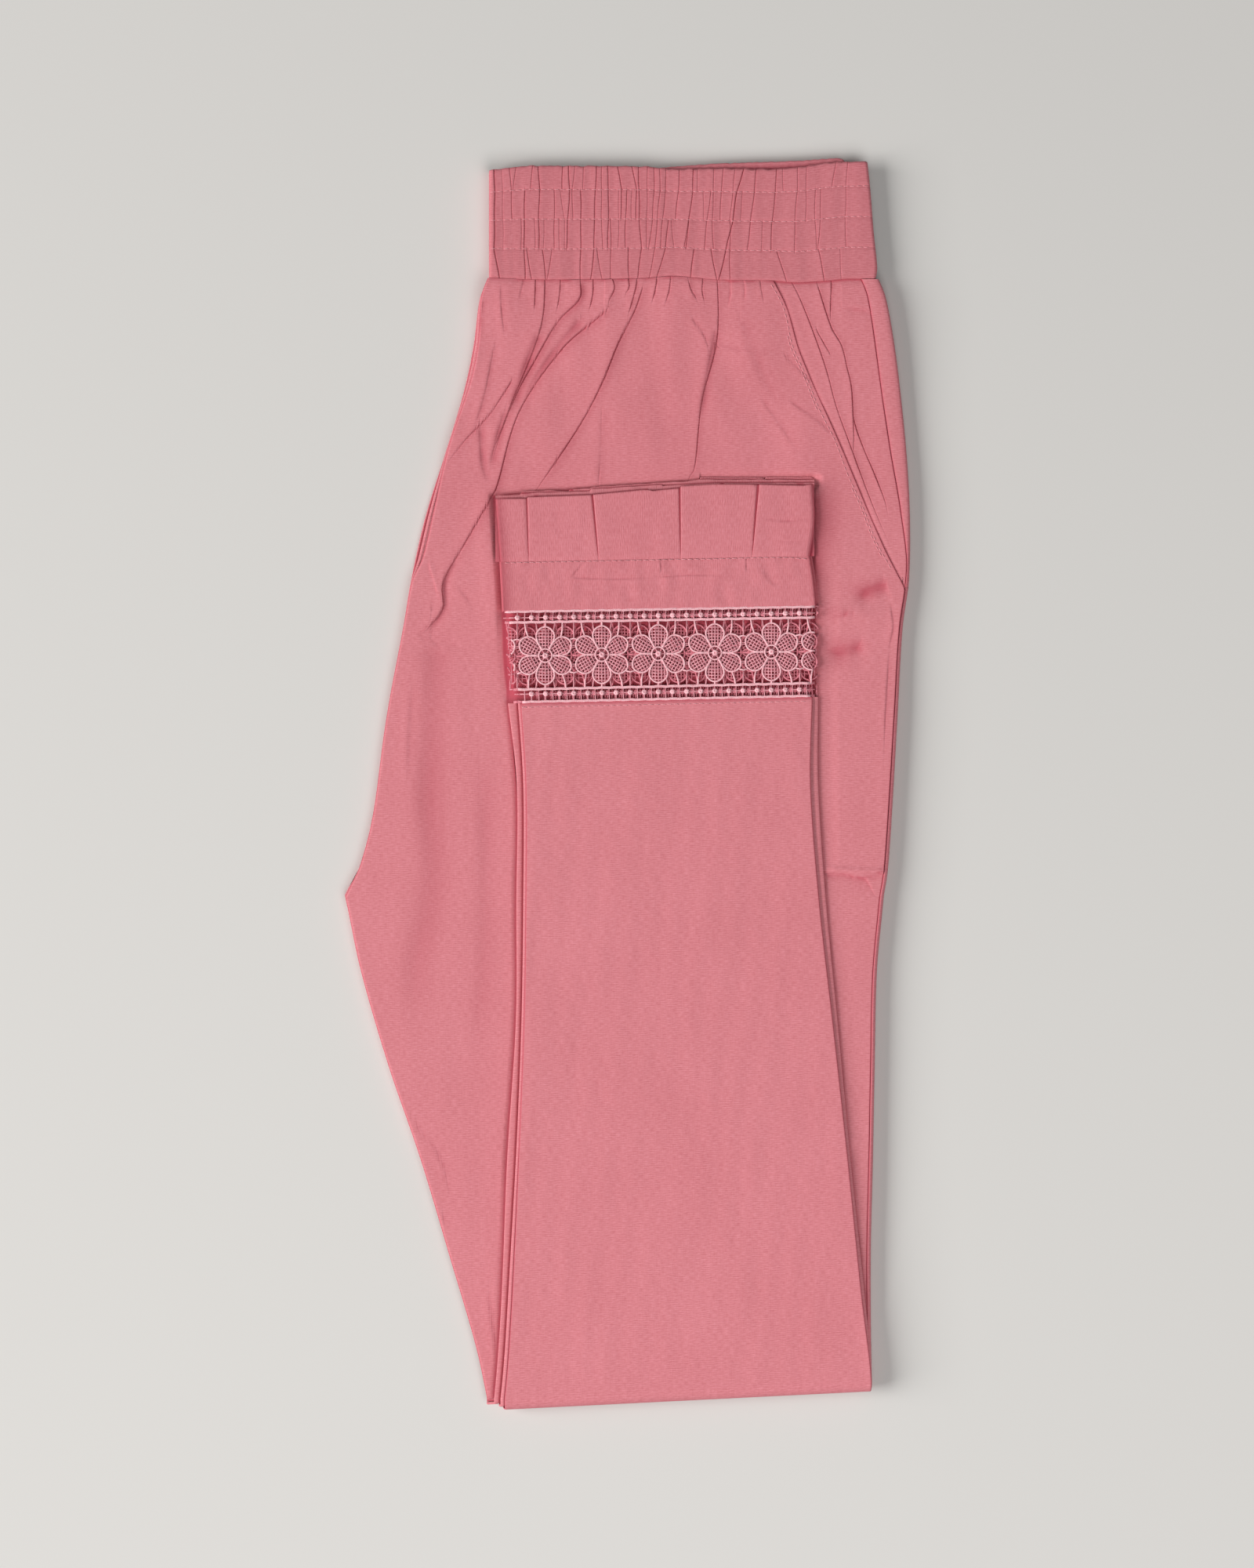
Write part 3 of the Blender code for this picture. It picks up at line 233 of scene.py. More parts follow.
def waves(x: Array, y: Array, length: float, seed: int, stretch: float = 1.0) -> Array:
    """Soft uneven undulation, from -1 to 1, as a sum of crossing waves.

    Args:
        x: Places across, in millimetres.
        y: Places along.
        length: The typical distance between two crests.
        seed: The seed of the waves' directions and phases.
        stretch: How many times longer the waves are along y than across.

    Returns:
        The undulation at each place.
    """
    draw = np.random.default_rng(seed)
    total = np.zeros(np.broadcast(x, y).shape)
    count = 7
    for _ in range(count):
        angle = draw.uniform(0.0, math.pi)
        phase = draw.uniform(0.0, 2 * math.pi)
        size = 2 * math.pi / (length * draw.uniform(0.7, 1.5))
        along = x * math.cos(angle) + y * math.sin(angle) / stretch
        across = x * math.sin(angle) - y * math.cos(angle) / stretch
        total += np.sin(along * size + phase + 0.9 * np.sin(0.43 * size * across + phase))
    return total / math.sqrt(count) / 1.6


class Rows(NamedTuple):
    """Rows across a leg: height at x = 0, slope, half turn round the knee and seam wave."""

    y: Array
    slope: Array
    turn: Array
    wave: Array

    @staticmethod
    def join(*parts: "Rows") -> "Rows":
        """Put runs of rows one after another."""
        return Rows(*(np.concatenate(column) for column in zip(*parts)))

    @staticmethod
    def lower(heights: Array, wave: float = 0.0) -> "Rows":
        """Rows from the waist down to the knee.

        Args:
            heights: Their heights at x = 0.
            wave: 1 where the rows near the waist follow its wavy seam.

        Returns:
            The rows, whose slope grows towards the knee.
        """
        share = np.clip((SLOPE_START_Y - heights) / (SLOPE_START_Y - TURN_Y), 0.0, 1.0)
        still = np.zeros_like(heights)
        return Rows(heights, TURN_SLOPE * share, still, still + wave)

    @staticmethod
    def knee(steps: int) -> "Rows":
        """Rows round the knee, in equal steps of the half turn."""
        turn = np.linspace(0.0, math.pi, steps + 1)
        return Rows(0 * turn + TURN_Y, 0 * turn + TURN_SLOPE, turn, 0 * turn)

    @staticmethod
    def upper(end: Pair, steps: int, start_share: float = 0.0) -> "Rows":
        """Rows from the knee back up to a cross line.

        Args:
            end: Height and slope of the cross line.
            steps: How many rows.
            start_share: Where the first row lies between the knee and the line.

        Returns:
            The rows.
        """
        share = np.linspace(start_share, 1.0, steps + 1)[1:]
        still = np.zeros_like(share)
        return Rows(mix(TURN_Y, end[0], share), mix(TURN_SLOPE, end[1], share), still + math.pi, still)

    def meet(self, edge: Edge) -> Array:
        """Find where each sloping row meets an edge known by its height.

        Args:
            edge: Gives the edge's place across at heights.

        Returns:
            The place across for each row.
        """
        x = edge(self.y)
        for _ in range(3):
            x = edge(self.y + self.slope * x)
        return x

    def at(self, x: Array, depth: Array) -> Array:
        """Places on the rows.

        Args:
            x: Places across, a line of them for each row.
            depth: Distance from the line that the panels are turned round.

        Returns:
            Points, in an array of rows, columns and 3.
        """
        y, slope, turn, wave = (column[:, None] for column in self)
        shift = (waist_seam(x) - WAIST_Y) * np.clip((y - WAIST_Y + SEAM_FADE) / SEAM_FADE, 0, 1)
        height = y + slope * x - depth * np.sin(turn) + wave * shift
        return np.stack([x, height, TURN_Z - depth * np.cos(turn)], axis=-1)

    def thigh(self, side: str) -> Array:
        """Where each row meets the thighs' silhouette."""
        return self.meet(lambda y: thigh_edge(y, side))

    def calf(self, column: str) -> Array:
        """Where each row meets an edge of the turned-up calves."""
        return self.meet(lambda y: CALF_WIDTHS(column, y))

    @property
    def upper_side(self) -> Array:
        """True for the rows past the middle of the turn."""
        return self.turn > math.pi / 2

    def travel(self) -> Array:
        """Distance along the leg from the first row to each row."""
        step = np.hypot(np.diff(self.y), np.diff(self.turn) * BACKS_OUTER)
        return np.concatenate([[0.0], np.cumsum(step)])

    def flat(self, across: Array) -> Array:
        """Places on the flat cloth, from places across it and the distance along the leg."""
        return np.stack([across, np.broadcast_to(self.travel()[:, None], across.shape)], -1)


class Section:
    """A cross section of several rows, gathered column by column."""

    def __init__(self, like: Array) -> None:
        """Start empty, for as many rows as a column has."""
        self.blank = 0.0 * like
        self.parts: list[list[Array]] = []

    def add(self, *values: Array) -> None:
        """Add a column, with a value of each kind for the rows."""
        self.parts.append([value + self.blank for value in values])

    def columns(self) -> list[Array]:
        """Values of each kind, in arrays of rows and columns."""
        return [np.hstack(kind) for kind in zip(*self.parts)]


def girth(points: Array) -> Array:
    """Distance along each row of points, from its first one."""
    steps = np.linalg.norm(np.diff(points, axis=1), axis=-1)
    return np.hstack([np.zeros((len(points), 1)), np.cumsum(steps, axis=1)])


def cross_line(line: Pair, x: Array) -> Array:
    """Height at x of a line across the leg, given as its height at x = 0 and its slope."""
    return line[0] + line[1] * x


def falling(start: float, stop: float, step: float) -> Array:
    """Heights from one value down to another, in nearly equal steps."""
    return np.linspace(start, stop, max(2, int(round((start - stop) / step)) + 1))


def smooth_route(route: Points, spans: int = 10) -> Array:
    """Run a smooth curve through points.

    Args:
        route: The points (x, y).
        spans: How many steps lie between two points.

    Returns:
        The curve's points, one in each row.
    """
    knots = np.array(route, dtype=float)
    if len(knots) == 2:
        return np.linspace(knots[0], knots[1], spans)
    padded = np.vstack([2 * knots[0] - knots[1], knots, 2 * knots[-1] - knots[-2]])
    t = np.linspace(0.0, 1.0, spans, endpoint=False)[:, None]
    parts = []
    for a, b, c, d in zip(padded, padded[1:], padded[2:], padded[3:]):
        curve = 2 * b + (c - a) * t + (2 * a - 5 * b + 4 * c - d) * t**2
        parts.append(0.5 * (curve + (3 * b - a - 3 * c + d) * t**3))
    return np.vstack(parts + [knots[-1:]])


@dataclass(frozen=True)
class Crease:
    """A line where cloth laps over itself: a lip, a thin dark cut, and a valley beyond it.

    A cut below 0.45 makes a soft fold. The route of points (x, y) runs away from its strong
    end. lip, valley and cut are heights, and width is how far lip and valley reach. The lip
    lies at -X of a route that runs down, or at +X where side is -1.
    """

    route: tuple[Pair, ...]
    lip: float
    valley: float
    cut: float
    width: float
    side: int = 1
    cut_width: float = 0.18
    fade: float = 0.35

    def columns(self, y: Array) -> Array:
        """Places across that follow the crease closely on each row.

        Args:
            y: Heights of the rows.

        Returns:
            Places in millimetres, in an array of rows and columns.
        """
        line = smooth_route(self.route)
        order = np.argsort(line[:, 1])
        x = np.interp(y, line[order, 1], line[order, 0])
        run = np.interp(y + 0.5, line[order, 1], line[order, 0])
        run -= np.interp(y - 0.5, line[order, 1], line[order, 0])
        offsets = CUT_PLACES if self.cut > 0.45 else SOFT_PLACES
        stretch = np.sqrt(1 + np.clip(run, -1.5, 1.5) ** 2)
        return x[:, None] + stretch[:, None] * offsets[None, :]

    def trace(self, x: Array, y: Array) -> tuple[Array, Array, Array]:
        """Find the places near the crease.

        Args:
            x: Places across.
            y: Places along.

        Returns:
            Which places are near, and for those the crease's strength and the distance to it.
        """
        line = smooth_route(self.route)
        reach = 3.0 * self.width
        near = (
            (x > line[:, 0].min() - reach)
            & (x < line[:, 0].max() + reach)
            & (y > line[:, 1].min() - reach)
            & (y < line[:, 1].max() + reach)
        )
        px = x[near]
        py = y[near]
        best = np.full(px.shape, 1e9)
        signed = np.zeros_like(px)
        along = np.zeros_like(px)
        steps = np.hypot(*np.diff(line, axis=0).T)
        before = np.concatenate([[0.0], np.cumsum(steps)])
        for start, end, passed, length in zip(line, line[1:], before, steps):
            run = (end - start) / length
            t = np.clip((px - start[0]) * run[0] + (py - start[1]) * run[1], 0.0, length)
            gap_x = px - start[0] - t * run[0]
            gap_y = py - start[1] - t * run[1]
            distance = np.hypot(gap_x, gap_y)
            closer = distance < best
            best = np.where(closer, distance, best)
            turn = np.where(run[0] * gap_y - run[1] * gap_x >= 0, 1.0, -1.0)
            signed = np.where(closer, turn * distance, signed)
            along = np.where(closer, passed + t, along)
        share = along / before[-1]
        strength = (1 - ease((share - 1 + self.fade) / self.fade)) * ease(share / 0.06 + 0.35)
        uneven = 0.82 + 0.18 * np.sin(14 * share + before[-1])
        return near, strength * uneven, signed * self.side

    def relief(self, x: Array, y: Array) -> Array:
        """Height that the crease adds at each place.

        Args:
            x: Places across.
            y: Places along.

        Returns:
            The heights.
        """
        added = np.zeros_like(x)
        near, strength, across = self.trace(x, y)
        right = 0.5 * (1 + np.tanh(across / (0.15 if self.cut > 0.45 else 0.28 * self.width)))
        shape = self.lip * (1 - right) * bell(across, self.width)
        if self.cut > 0.45:
            reach = np.maximum(across, 0.0) / self.width
            shape -= 0.5 * self.valley * (0.4 * right * np.exp(-reach) + reach * np.exp(1 - reach))
        else:
            shape -= self.valley * right * np.exp(-np.abs(across / self.width) ** 1.5)
        shape -= 0.8 * self.cut * bell(across - 0.1, self.cut_width)
        added[near] = strength * shape
        return added

    def fold(self, x: Array, y: Array) -> Array:
        """How much painted shade darkens each place in and beside the crease, from 0 to 1.

        Args:
            x: Places across.
            y: Places along.

        Returns:
            The shade amounts.
        """
        inside = np.zeros_like(x)
        near, strength, across = self.trace(x, y)
        # painted shade: a thin dark core in the cut and a softer band in the valley
        core = 0.85 * self.cut * bell(across - 0.1, 0.17)
        soft = 0.5 * self.valley * bell(across / self.width - 0.25, 0.45)
        inside[near] = strength * np.minimum(core + soft, 1.0)
        return inside


CUT_PLACES = np.array([-3.2, -1.7, -0.8, -0.4, -0.2, -0.03, 0.1, 0.23, 0.4, 0.7, 1.5, 2.8])
SOFT_PLACES = np.array([-1.8, -0.6, -0.1, 0.3, 0.9, 2.2])


def creases_from(columns: str, *rows: tuple) -> tuple[Crease, ...]:
    """Turn a table of creases into creases.

    Args:
        columns: The names of the leading columns. The points of the route follow them.
        rows: For each crease its leading values, and then its route's points.

    Returns:
        The creases.
    """
    names = columns.split()
    made = []
    for row in rows:
        values = dict(zip(names, row))
        made.append(Crease(route=tuple(row[len(names):]), **values))
    return tuple(made)


def deepest(creases: Sequence[Crease], x: Array, y: Array) -> Array:
    """The strongest painted shade of any of the creases at each place."""
    return np.max([crease.fold(x, y) for crease in creases], axis=0)


HIP_CREASES = creases_from(
    "lip valley cut width side",
    (0.25, 0.3, 0.66, 3.2, 1, (-37.6, 231.5), (-38.5, 214.9), (-42.5, 200.2), (-54.7, 170.6),
     (-62.3, 147.2)),
    (0.28, 0.75, 0.72, 3.6, 1, (-21.4, 230.5), (-22, 222.1), (-32, 211.7), (-42.5, 194), (-51.1, 178.2),
     (-64, 147)),
    (0.3, 0.5, 0.95, 4.4, 1, (7.3, 228), (3.2, 216.4), (-4.3, 201.6), (-11.5, 184), (-21.6, 164.9),
     (-41, 136), (-48, 126)),
    (0.26, 0.34, 0.6, 3.2, 1, (-52.6, 185.4), (-57.7, 177.6), (-63.5, 169.2), (-73.9, 158.4),
     (-84.2, 145.4)),
    (0.3, 0.3, 0.3, 3.2, 1, (-61, 200), (-66, 176), (-72, 160)),
    (0.22, 0.3, 0.85, 3.4, 1, (41.4, 231), (41.8, 211.7), (40, 197.3), (34.2, 175), (31.3, 147.2),
     (28.8, 141.1), (24, 130)),
    (0.24, 0.37, 0.6, 2.4, 1, (28.1, 230.5), (29.5, 226.1), (32.8, 221.1)),
    (0.14, 0.2, 0.2, 5, 1, (-11.5, 172.1), (-12.2, 153), (-13, 138), (-13.6, 122)),
    (0.3, 0.3, 0.4, 2.6, 1, (-66, 222), (-68, 205), (-69.5, 195)),
    (0.26, 0.24, 0.3, 2.4, 1, (-58, 226), (-57.2, 214), (-56, 205)),
    (0.25, 0.16, 0.16, 1.8, -1, (-91.4, 101.2), (-87.8, 89.6), (-86, 84.2)),
    (0.18, 0.16, 0.2, 2.2, 1, (-77.4, 89.6), (-70.6, 81.4)),
    (0.2, 0.18, 0.1, 3.2, 1, (-96.8, 67.7), (-83.5, 63.4), (-74, 62.5)),
    (0.18, 0.18, 0.25, 2.2, 1, (30, 213), (36, 204), (38, 196)),
    (0.22, 0.22, 0, 7, 1, (52, 212), (60, 190), (70, 170)),
    (0.14, 0.16, 0.1, 3.4, 1, (62, 176), (70, 165), (80, 150)),
    (0.16, 0.16, 0.15, 2.5, 1, (-98, -156), (-86, -172), (-81, -190)),
    (0.16, 0.16, 0.15, 2, 1, (-92, -192), (-80, -204)),
    (0.25, 0.25, 0.2, 2.6, 1, (-64, -236), (-60, -262), (-61, -276)),
    (0.5, 0.55, 0, 15, 1, (-90.8, 64), (-92.6, 34.2), (-93.6, 7.6), (-94.3, -10.4), (-92.6, -28),
     (-92.6, -42.3), (-95.3, -63.6), (-99.7, -84), (-100.3, -120)),
    (0.24, 0.26, 0, 11, 1, (-68, 4), (-67, -30), (-68, -88), (-71, -118), (-72, -146)),
    (0.2, 0.22, 0, 4, 1, (-99.2, 42), (-100.4, 22), (-101.2, -2)),
    (0.1, 1.15, 0.1, 6, 1, (118.4, 93.2), (110.5, 89.6), (102, 85.4)),
    (0.2, 0.5, 0.42, 1.8, 1, (104, 78.8), (97, 77.4), (89, 76.4)),
    (0.2, 1.15, 0.05, 6, 1, (107.6, 65), (99, 62), (90, 62.4)),
    (0.2, 0.25, 0.4, 2.2, 1, (120.4, 58), (119.2, 44), (117.6, 12)),
    (0.2, 0.25, 0.4, 1.8, 1, (121, 80), (122.2, 72), (119.6, 61)),
    (0.45, 0.75, 0.45, 3, 1, (117.6, -39.8), (112, -42.2), (106, -42.8), (100, -41.4), (93, -41),
     (84, -40.6)),
    (0.2, 0.4, 0.3, 2.2, 1, (116.8, -47.6), (111.6, -45.6), (105, -42.4)),
    (0.2, 0.2, 0.1, 2.6, 1, (37.8, 201.6), (55.8, 198.4), (73.8, 198)),
    (0.12, 0.16, 0.2, 2.2, 1, (71.9, 196.9), (85.5, 183.3), (90, 178)),
    (0.16, 0.18, 0.2, 2.6, 1, (74.5, 175.3), (86.4, 167.4), (99, 156.2)),
    (0.3, 1.1, 0.1, 5.5, 1, (-41, 206), (-44.4, 198.4), (-52.2, 177.5), (-55, 168)),
    (0.25, 0.9, 0.1, 4.5, 1, (-56.6, 170.6), (-60.5, 157), (-63.3, 143.3)),
    (0.2, 0.7, 0.1, 4, 1, (-67.7, 163), (-66.6, 146.5), (-63.3, 137.5)),
    (0.2, 0.9, 0.1, 4.5, 1, (-22, 213), (-32, 201), (-42, 187), (-50, 170)),
    (0.15, 0.9, 0.1, 2.6, 1, (-79, 103), (-84, 93), (-84.2, 81), (-91, 72), (-97, 69.5)),
    (0.2, 0.7, 0.1, 4, 1, (40.5, 208), (37, 190), (31.5, 160)),
)
HIP_CREASES += creases_from(
    "lip valley cut width fade",
    (0.3, 0.45, 0.8, 4.4, 0.12, (-8.4, 219), (-9.6, 216.9), (-14, 213.2), (-30.6, 198.7), (-49.7, 170.6),
     (-59.4, 138.2), (-62.4, 131.8), (-73.5, 112.3), (-84.4, 93), (-84.6, 80.6), (-92.5, 71.3),
     (-99.7, 69.5)),
)
SEAM_TUCKS = creases_from(
    "lip valley cut width side",
    (0.14, 0.21, 0.41, 1.9, 1, (-47.2, 232), (-48.5, 226), (-49.9, 221)),
    (0.22, 0.35, 0.73, 2, 1, (-42, 232), (-42.2, 224), (-42.6, 216.5)),
    (0.2, 0.24, 0.49, 2.2, 1, (-30.5, 232), (-31, 224), (-32.5, 216)),
    (0.22, 0.32, 0.73, 2.1, 1, (-15.5, 232), (-15.8, 224), (-17.6, 216.5)),
    (0.22, 0.35, 0.73, 1.9, 1, (-6.8, 232), (-5.8, 227), (-9.5, 219.5)),
    (0.2, 0.32, 0.65, 1.7, 1, (0.6, 232), (0.9, 227.5), (-1.2, 224.5)),
    (0.22, 0.35, 0.73, 1.9, 1, (4.6, 231), (3.4, 225), (0.2, 214)),
    (0.2, 0.28, 0.65, 2.1, 1, (13.7, 232), (12.8, 226), (11, 220)),
    (0.17, 0.24, 0.49, 2, 1, (20, 232.4), (19.2, 226), (17, 219)),
    (0.17, 0.24, 0.49, 2, 1, (34.8, 231.8), (34.4, 226), (35.6, 220)),
    (0.14, 0.21, 0.41, 2, -1, (47.4, 231.5), (47.6, 225), (46, 218)),
    (0.11, 0.17, 0.32, 2, -1, (53.6, 231.5), (54.2, 226), (53.6, 221)),
    (0.11, 0.15, 0.24, 2, 1, (61, 231.5), (61.6, 226), (63, 220)),
)
POCKET_CREASES = creases_from(
    "lip valley cut width side",
    (0.14, 0.2, 0.58, 2, 1, (75, 231), (79.7, 221.4), (85.3, 207.4), (91.4, 190), (95.8, 173.9),
     (100.4, 160.9), (112.5, 128.5), (123.5, 103.3)),
    (0.12, 0.24, 0.55, 1.6, 1, (86.8, 208.2), (91.3, 200.2), (94.3, 195.6)),
    (0.2, 0.28, 0.8, 2.4, 1, (87.2, 229), (93.3, 210.2), (98.3, 201.2), (100.9, 191), (102.9, 182),
     (103.7, 168.9), (104.1, 159.8), (104.4, 149.8), (108.6, 139)),
    (0.07, 0.36, 0.62, 1.5, 1, (93.8, 230), (93.3, 219.2), (93.3, 211.3)),
    (0.16, 0.24, 0.78, 1.9, 1, (103.7, 168.9), (105.5, 162), (109.4, 151.9), (113.4, 142.6), (118.4, 129.6),
     (119.9, 121.7)),
    (0.12, 0.45, 0.16, 2.2, 1, (115.6, 216), (107, 217.8), (98, 218.4)),
)
THIGH_TOP_Y = 60.0
POCKET_TOP_Y = 80.0
FLAT_ROLL = 0.3
UP = (0, 0, 1)
DOWN = (0, 0, -1)
TO_WAIST = (0, 1, 0)


class HemStack:
    """The turned-up calf and hems, as the hollow that they press into the thigh."""

    HEM_LEFT = Table(
        "y left", (36.0, -53.8), (54.0, -56.0), (68.0, -56.6), (83.0, -57.0), (97.0, -57.8),
        (112.0, -59.0), (126.0, -60.1), (134.0, -60.6),
    )
    RIGHT = 85.0
    TOP = (
        (-60.0, -48.0, -26.4, -16.0, 16.0, 33.2, 33.7, 86.0),
        (132.3, 133.2, 134.9, 135.6, 137.7, 139.2, 140.8, 140.8),
    )
    BESIDE = ((-5.5, -4.0, -2.8, -1.9, -1.2, -0.7, -0.3, 0.1, 0.6), (-1.0, 0.0, 0.8, 2.0, 4.0, 7.0))

    def left(self, y: Array) -> Array:
        """Left side of the stack at a height."""
        return mix(CALF_WIDTHS("under_left", y) + 0.5, self.HEM_LEFT("left", y) - 0.3, self.hem(y))

    def right(self, y: Array) -> Array:
        """Right side of the stack at a height."""
        return mix(CALF_WIDTHS("under_right", y) - 0.8, self.RIGHT, self.hem(y))

    def hem(self, y: Array) -> Array:
        """Go from 0 beside the calf to 1 beside the hems."""
        return ease((y - LACE_BOTTOM[0] + 4.0) / 8.0)

    def columns(self, y: Array) -> list[Array]:
        """Places across that follow both sides closely."""
        before, after = (np.array(offsets) for offsets in self.BESIDE)
        return [self.left(y)[:, None] + before, self.right(y)[:, None] + after]

    def clearance(self, x: Array, y: Array) -> Array:
        """Go from 0 under the stack to 1 at some distance outside it.

        Args:
            x: Places across.
            y: Places along.

        Returns:
            The shares.
        """
        left = (self.left(y) - x) / mix(1.9, 3.4, self.hem(y))
        right = (x - self.right(y)) / mix(0.8, mix(1.5, 5.5, ease((y - 133.0) / 7.0)), self.hem(y))
        beside = np.maximum(np.maximum(left, right), 0.0)
        above = np.maximum(y - np.interp(x, *self.TOP) + 0.3, 0.0) / 2.6
        return ease(np.hypot(beside, above))

    def bank(self, x: Array, y: Array) -> Array:
        """The bank of cloth pushed up along the left side of the hems."""
        along, away = ease((y - 60.0) / 24.0) * ease((143.0 - y) / 16.0), self.left(y) - x
        return 0.55 * along * bell(away - 4.6, 5.0) * (away > -8.0)

    def fold(self, x: Array, y: Array) -> Array:
        """How much painted shade darkens each place of the thigh in the stack's corner or under the lace.

        Args:
            x: Places across.
            y: Places along.

        Returns:
            The shade amounts, from 0 to 1.
        """
        hem = self.hem(y)
        left = (self.left(y) - x) / mix(0.45, mix(0.6, 1.5, ease((y - 70.0) / 20.0)), hem)
        above = (y - np.interp(x, *self.TOP)) / 0.45
        right = (x - self.right(y) - 1.0) / mix(0.5, 2.6, hem) + 2.0 * ease((y - 131.0) / 7.0)
        outside = np.maximum(np.maximum(left, right), above)
        # painted shade under the lace, for the light lost between its layers
        lace = (y > LACE_BOTTOM[0]) & (y < LACE_TOP[0] + 3.0) & (x > self.left(y) + 5.0) & (right < 0)
        deep = mix(mix(0.7, 0.9, hem), mix(0.3, 0.5, hem), ease((x - 40.0) / 30.0))
        corner = deep * np.exp(-np.maximum(outside, 0.0) ** 1.4) * (1 - ease((y - 138.0) / 4.5))
        return np.where(lace, 0.85, corner)

    def filling(self, x: Array, y: Array) -> Array:
        """How far the hidden layers under the lace lift what shows through its holes."""
        across = ease((x - self.left(y) - 1.0) / 4.0) * ease((self.right(y) - 2.0 - x) / 4.0)
        return 2.4 * across * ease((y - 36.0) / 5.0) * ease((84.0 - y) / 5.0)


STACK = HemStack()


def seam_lift(x: Array, y: Array) -> Array:
    """How far the cloth between the stack and the side seam is puffed up."""
    rise = mix(2.4, 1.6, ease((y - 24.0) / 50.0))
    return rise * ease((x - 60.0) / 24.0) * (1 - ease((y - 128.0) / 76.0))


def front_relief(x: Array, y: Array) -> Array:
    """Height of the top front's face above its plain wall.

    Args:
        x: Places across.
        y: Places along.

    Returns:
        The heights.
    """
    puff = mix(0.45, 0.95, ease((y - 62.0) / 12.0)) + seam_lift(x, y)
    total = puff + STACK.bank(x, y)
    hip = ease((y - 130.0) / 50.0)
    total += 0.20 * waves(x, y, 30.0, 3) * (0.5 + hip)
    total += 0.16 * waves(x, y, 17.0, 5, 3.0) * hip
    total += 0.08 * waves(x, y, 12.0, 8, 6.0)
    for crease in HIP_CREASES + SEAM_TUCKS:
        total += crease.relief(x, y)
    bag = bell(y + 39.6 + 0.03 * (x - 105.0), 1.3) * ease((x - 91.0) / 4.0)
    total += 0.8 * bag
    flat_bag = ease((y + 40.0) / 3.0) * ease((110.0 - y) / 30.0) * ease((x - 92.0) / 6.0)
    total += 0.45 * flat_bag
    for bump_x, bump_y, size_x, size_y, rise in (
        (103.0, 78.0, 14.0, 3.2, 0.5),
        (99.0, 51.0, 10.0, 2.6, 0.4),
        (104.0, -165.0, 3.0, 1.6, 0.6),
        (119.0, -47.0, 5.0, 2.0, -0.6),
    ):
        near = ((x - bump_x) / size_x) ** 2 + ((y - bump_y) / size_y) ** 2
        total += rise * np.exp(-near)
    total -= 0.7 * bell(waist_seam(x) - y, 1.4)
    return np.clip(total, -1.6, 4.2) * STACK.clearance(x, y) + STACK.filling(x, y)


def roll_off(distance: Array, radius: float) -> Array:
    """How far a rolled edge falls away, at a distance from that edge."""
    inside = np.clip(radius - distance, 0.0, radius)
    return radius - np.sqrt(np.maximum(radius**2 - inside**2, 0.0))


def painted_edge_shade(distance: Array, reach: float = 0.35) -> Array:
    """How much painted shade darkens a place beside a seam or edge, at a distance from it."""
    return 0.8 * bell(distance, reach)


def hem_shade(left: Array, right: Array) -> Array:
    """How much painted shade and painted shadow darken the hems' edges in the corners beside them, at
    distances from those edges.
    """
    left_part = 0.06 + 0.54 * np.exp(-((left / 3.2) ** 1.5))
    return np.maximum(left_part, 0.40 * np.exp(-((right / 1.8) ** 1.5)))


def hem_curl(left: Array) -> Array:
    """How far the hems' left edge curls up, at a distance from that edge."""
    return 0.6 * np.exp(-left / 2.4) - roll_off(left, 0.45)


# Painted shade and painted shadow: soft patches as x, y, size across, size along and strength; the first and
# last lie in the shadow beside the hems
SHADES = (
    (90.5, 121.0, 7.0, 16.0, 0.30),
    (110.0, 89.5, 9.5, 3.6, 0.24),
    (94.0, 79.0, 7.0, 1.8, 0.18),
    (96.0, 63.5, 8.5, 4.2, 0.20),
    (88.0, 98.0, 5.0, 12.0, 0.18),
)


def painted_soft_shade(x: Array, y: Array) -> Array:
    """How much painted shade darkens small folds of the hip and dips beside the hems.

    Args:
        x: Places across.
        y: Places along.

    Returns:
        The shares, from 0.
    """
    # painted shade that grows towards the waist
    total = 0.06 * ease((y - 90.0) / 60.0)
    for centre_x, centre_y, size_x, size_y, depth in SHADES:
        near = ((x - centre_x) / size_x) ** 2 + ((y - centre_y) / size_y) ** 2
        total += depth * np.exp(-near)
    return total


EDGE_PLACES = np.array([0.0, 0.06, 0.2, 0.42, 0.75, 1.15, 1.6])
LEAST_STEP = 0.002


def spread_columns(
    left: Array, right: Array, count: int, creases: Sequence[Array] = ()
) -> Array:
    """Places across each row, close together at both edges and along creases.

    Args:
        left: Left end of each row.
        right: Right end of each row.
        count: How many columns lie between the edges' own.
        creases: More places across each row, as arrays of rows and columns.

    Returns:
        Places in millimetres in rising order, in an array of rows and columns.
    """
    left = left[:, None]
    right = right[:, None]
    last = EDGE_PLACES[-1]
    low = left + last
    high = right - last
    middle = mix(low, high, np.linspace(0.0, 1.0, count + 2)[None, 1:-1])
    if len(creases):
        middle = np.clip(np.hstack([middle, *creases]), low, high)
        middle = np.sort(middle, axis=1)
        ramp = np.arange(1, middle.shape[1] + 1)[None, :] * LEAST_STEP
        middle = np.maximum.accumulate(middle - ramp, axis=1) + ramp
        reach = np.maximum(middle[:, -1:] + LEAST_STEP - high, 0.0)
        middle -= reach * (middle - low) / (high - low)
    return np.hstack([left + EDGE_PLACES[None, :], middle, right - EDGE_PLACES[None, ::-1]])


def link(name: str, data: ID) -> Object:
    """Put new data in the scene.

    Args:
        name: The object's name.
        data: A mesh, curve, light or camera.

    Returns:
        The new object, at the origin.
    """
    thing = bpy.data.objects.new(name, data)
    bpy.context.scene.collection.objects.link(thing)
    return thing


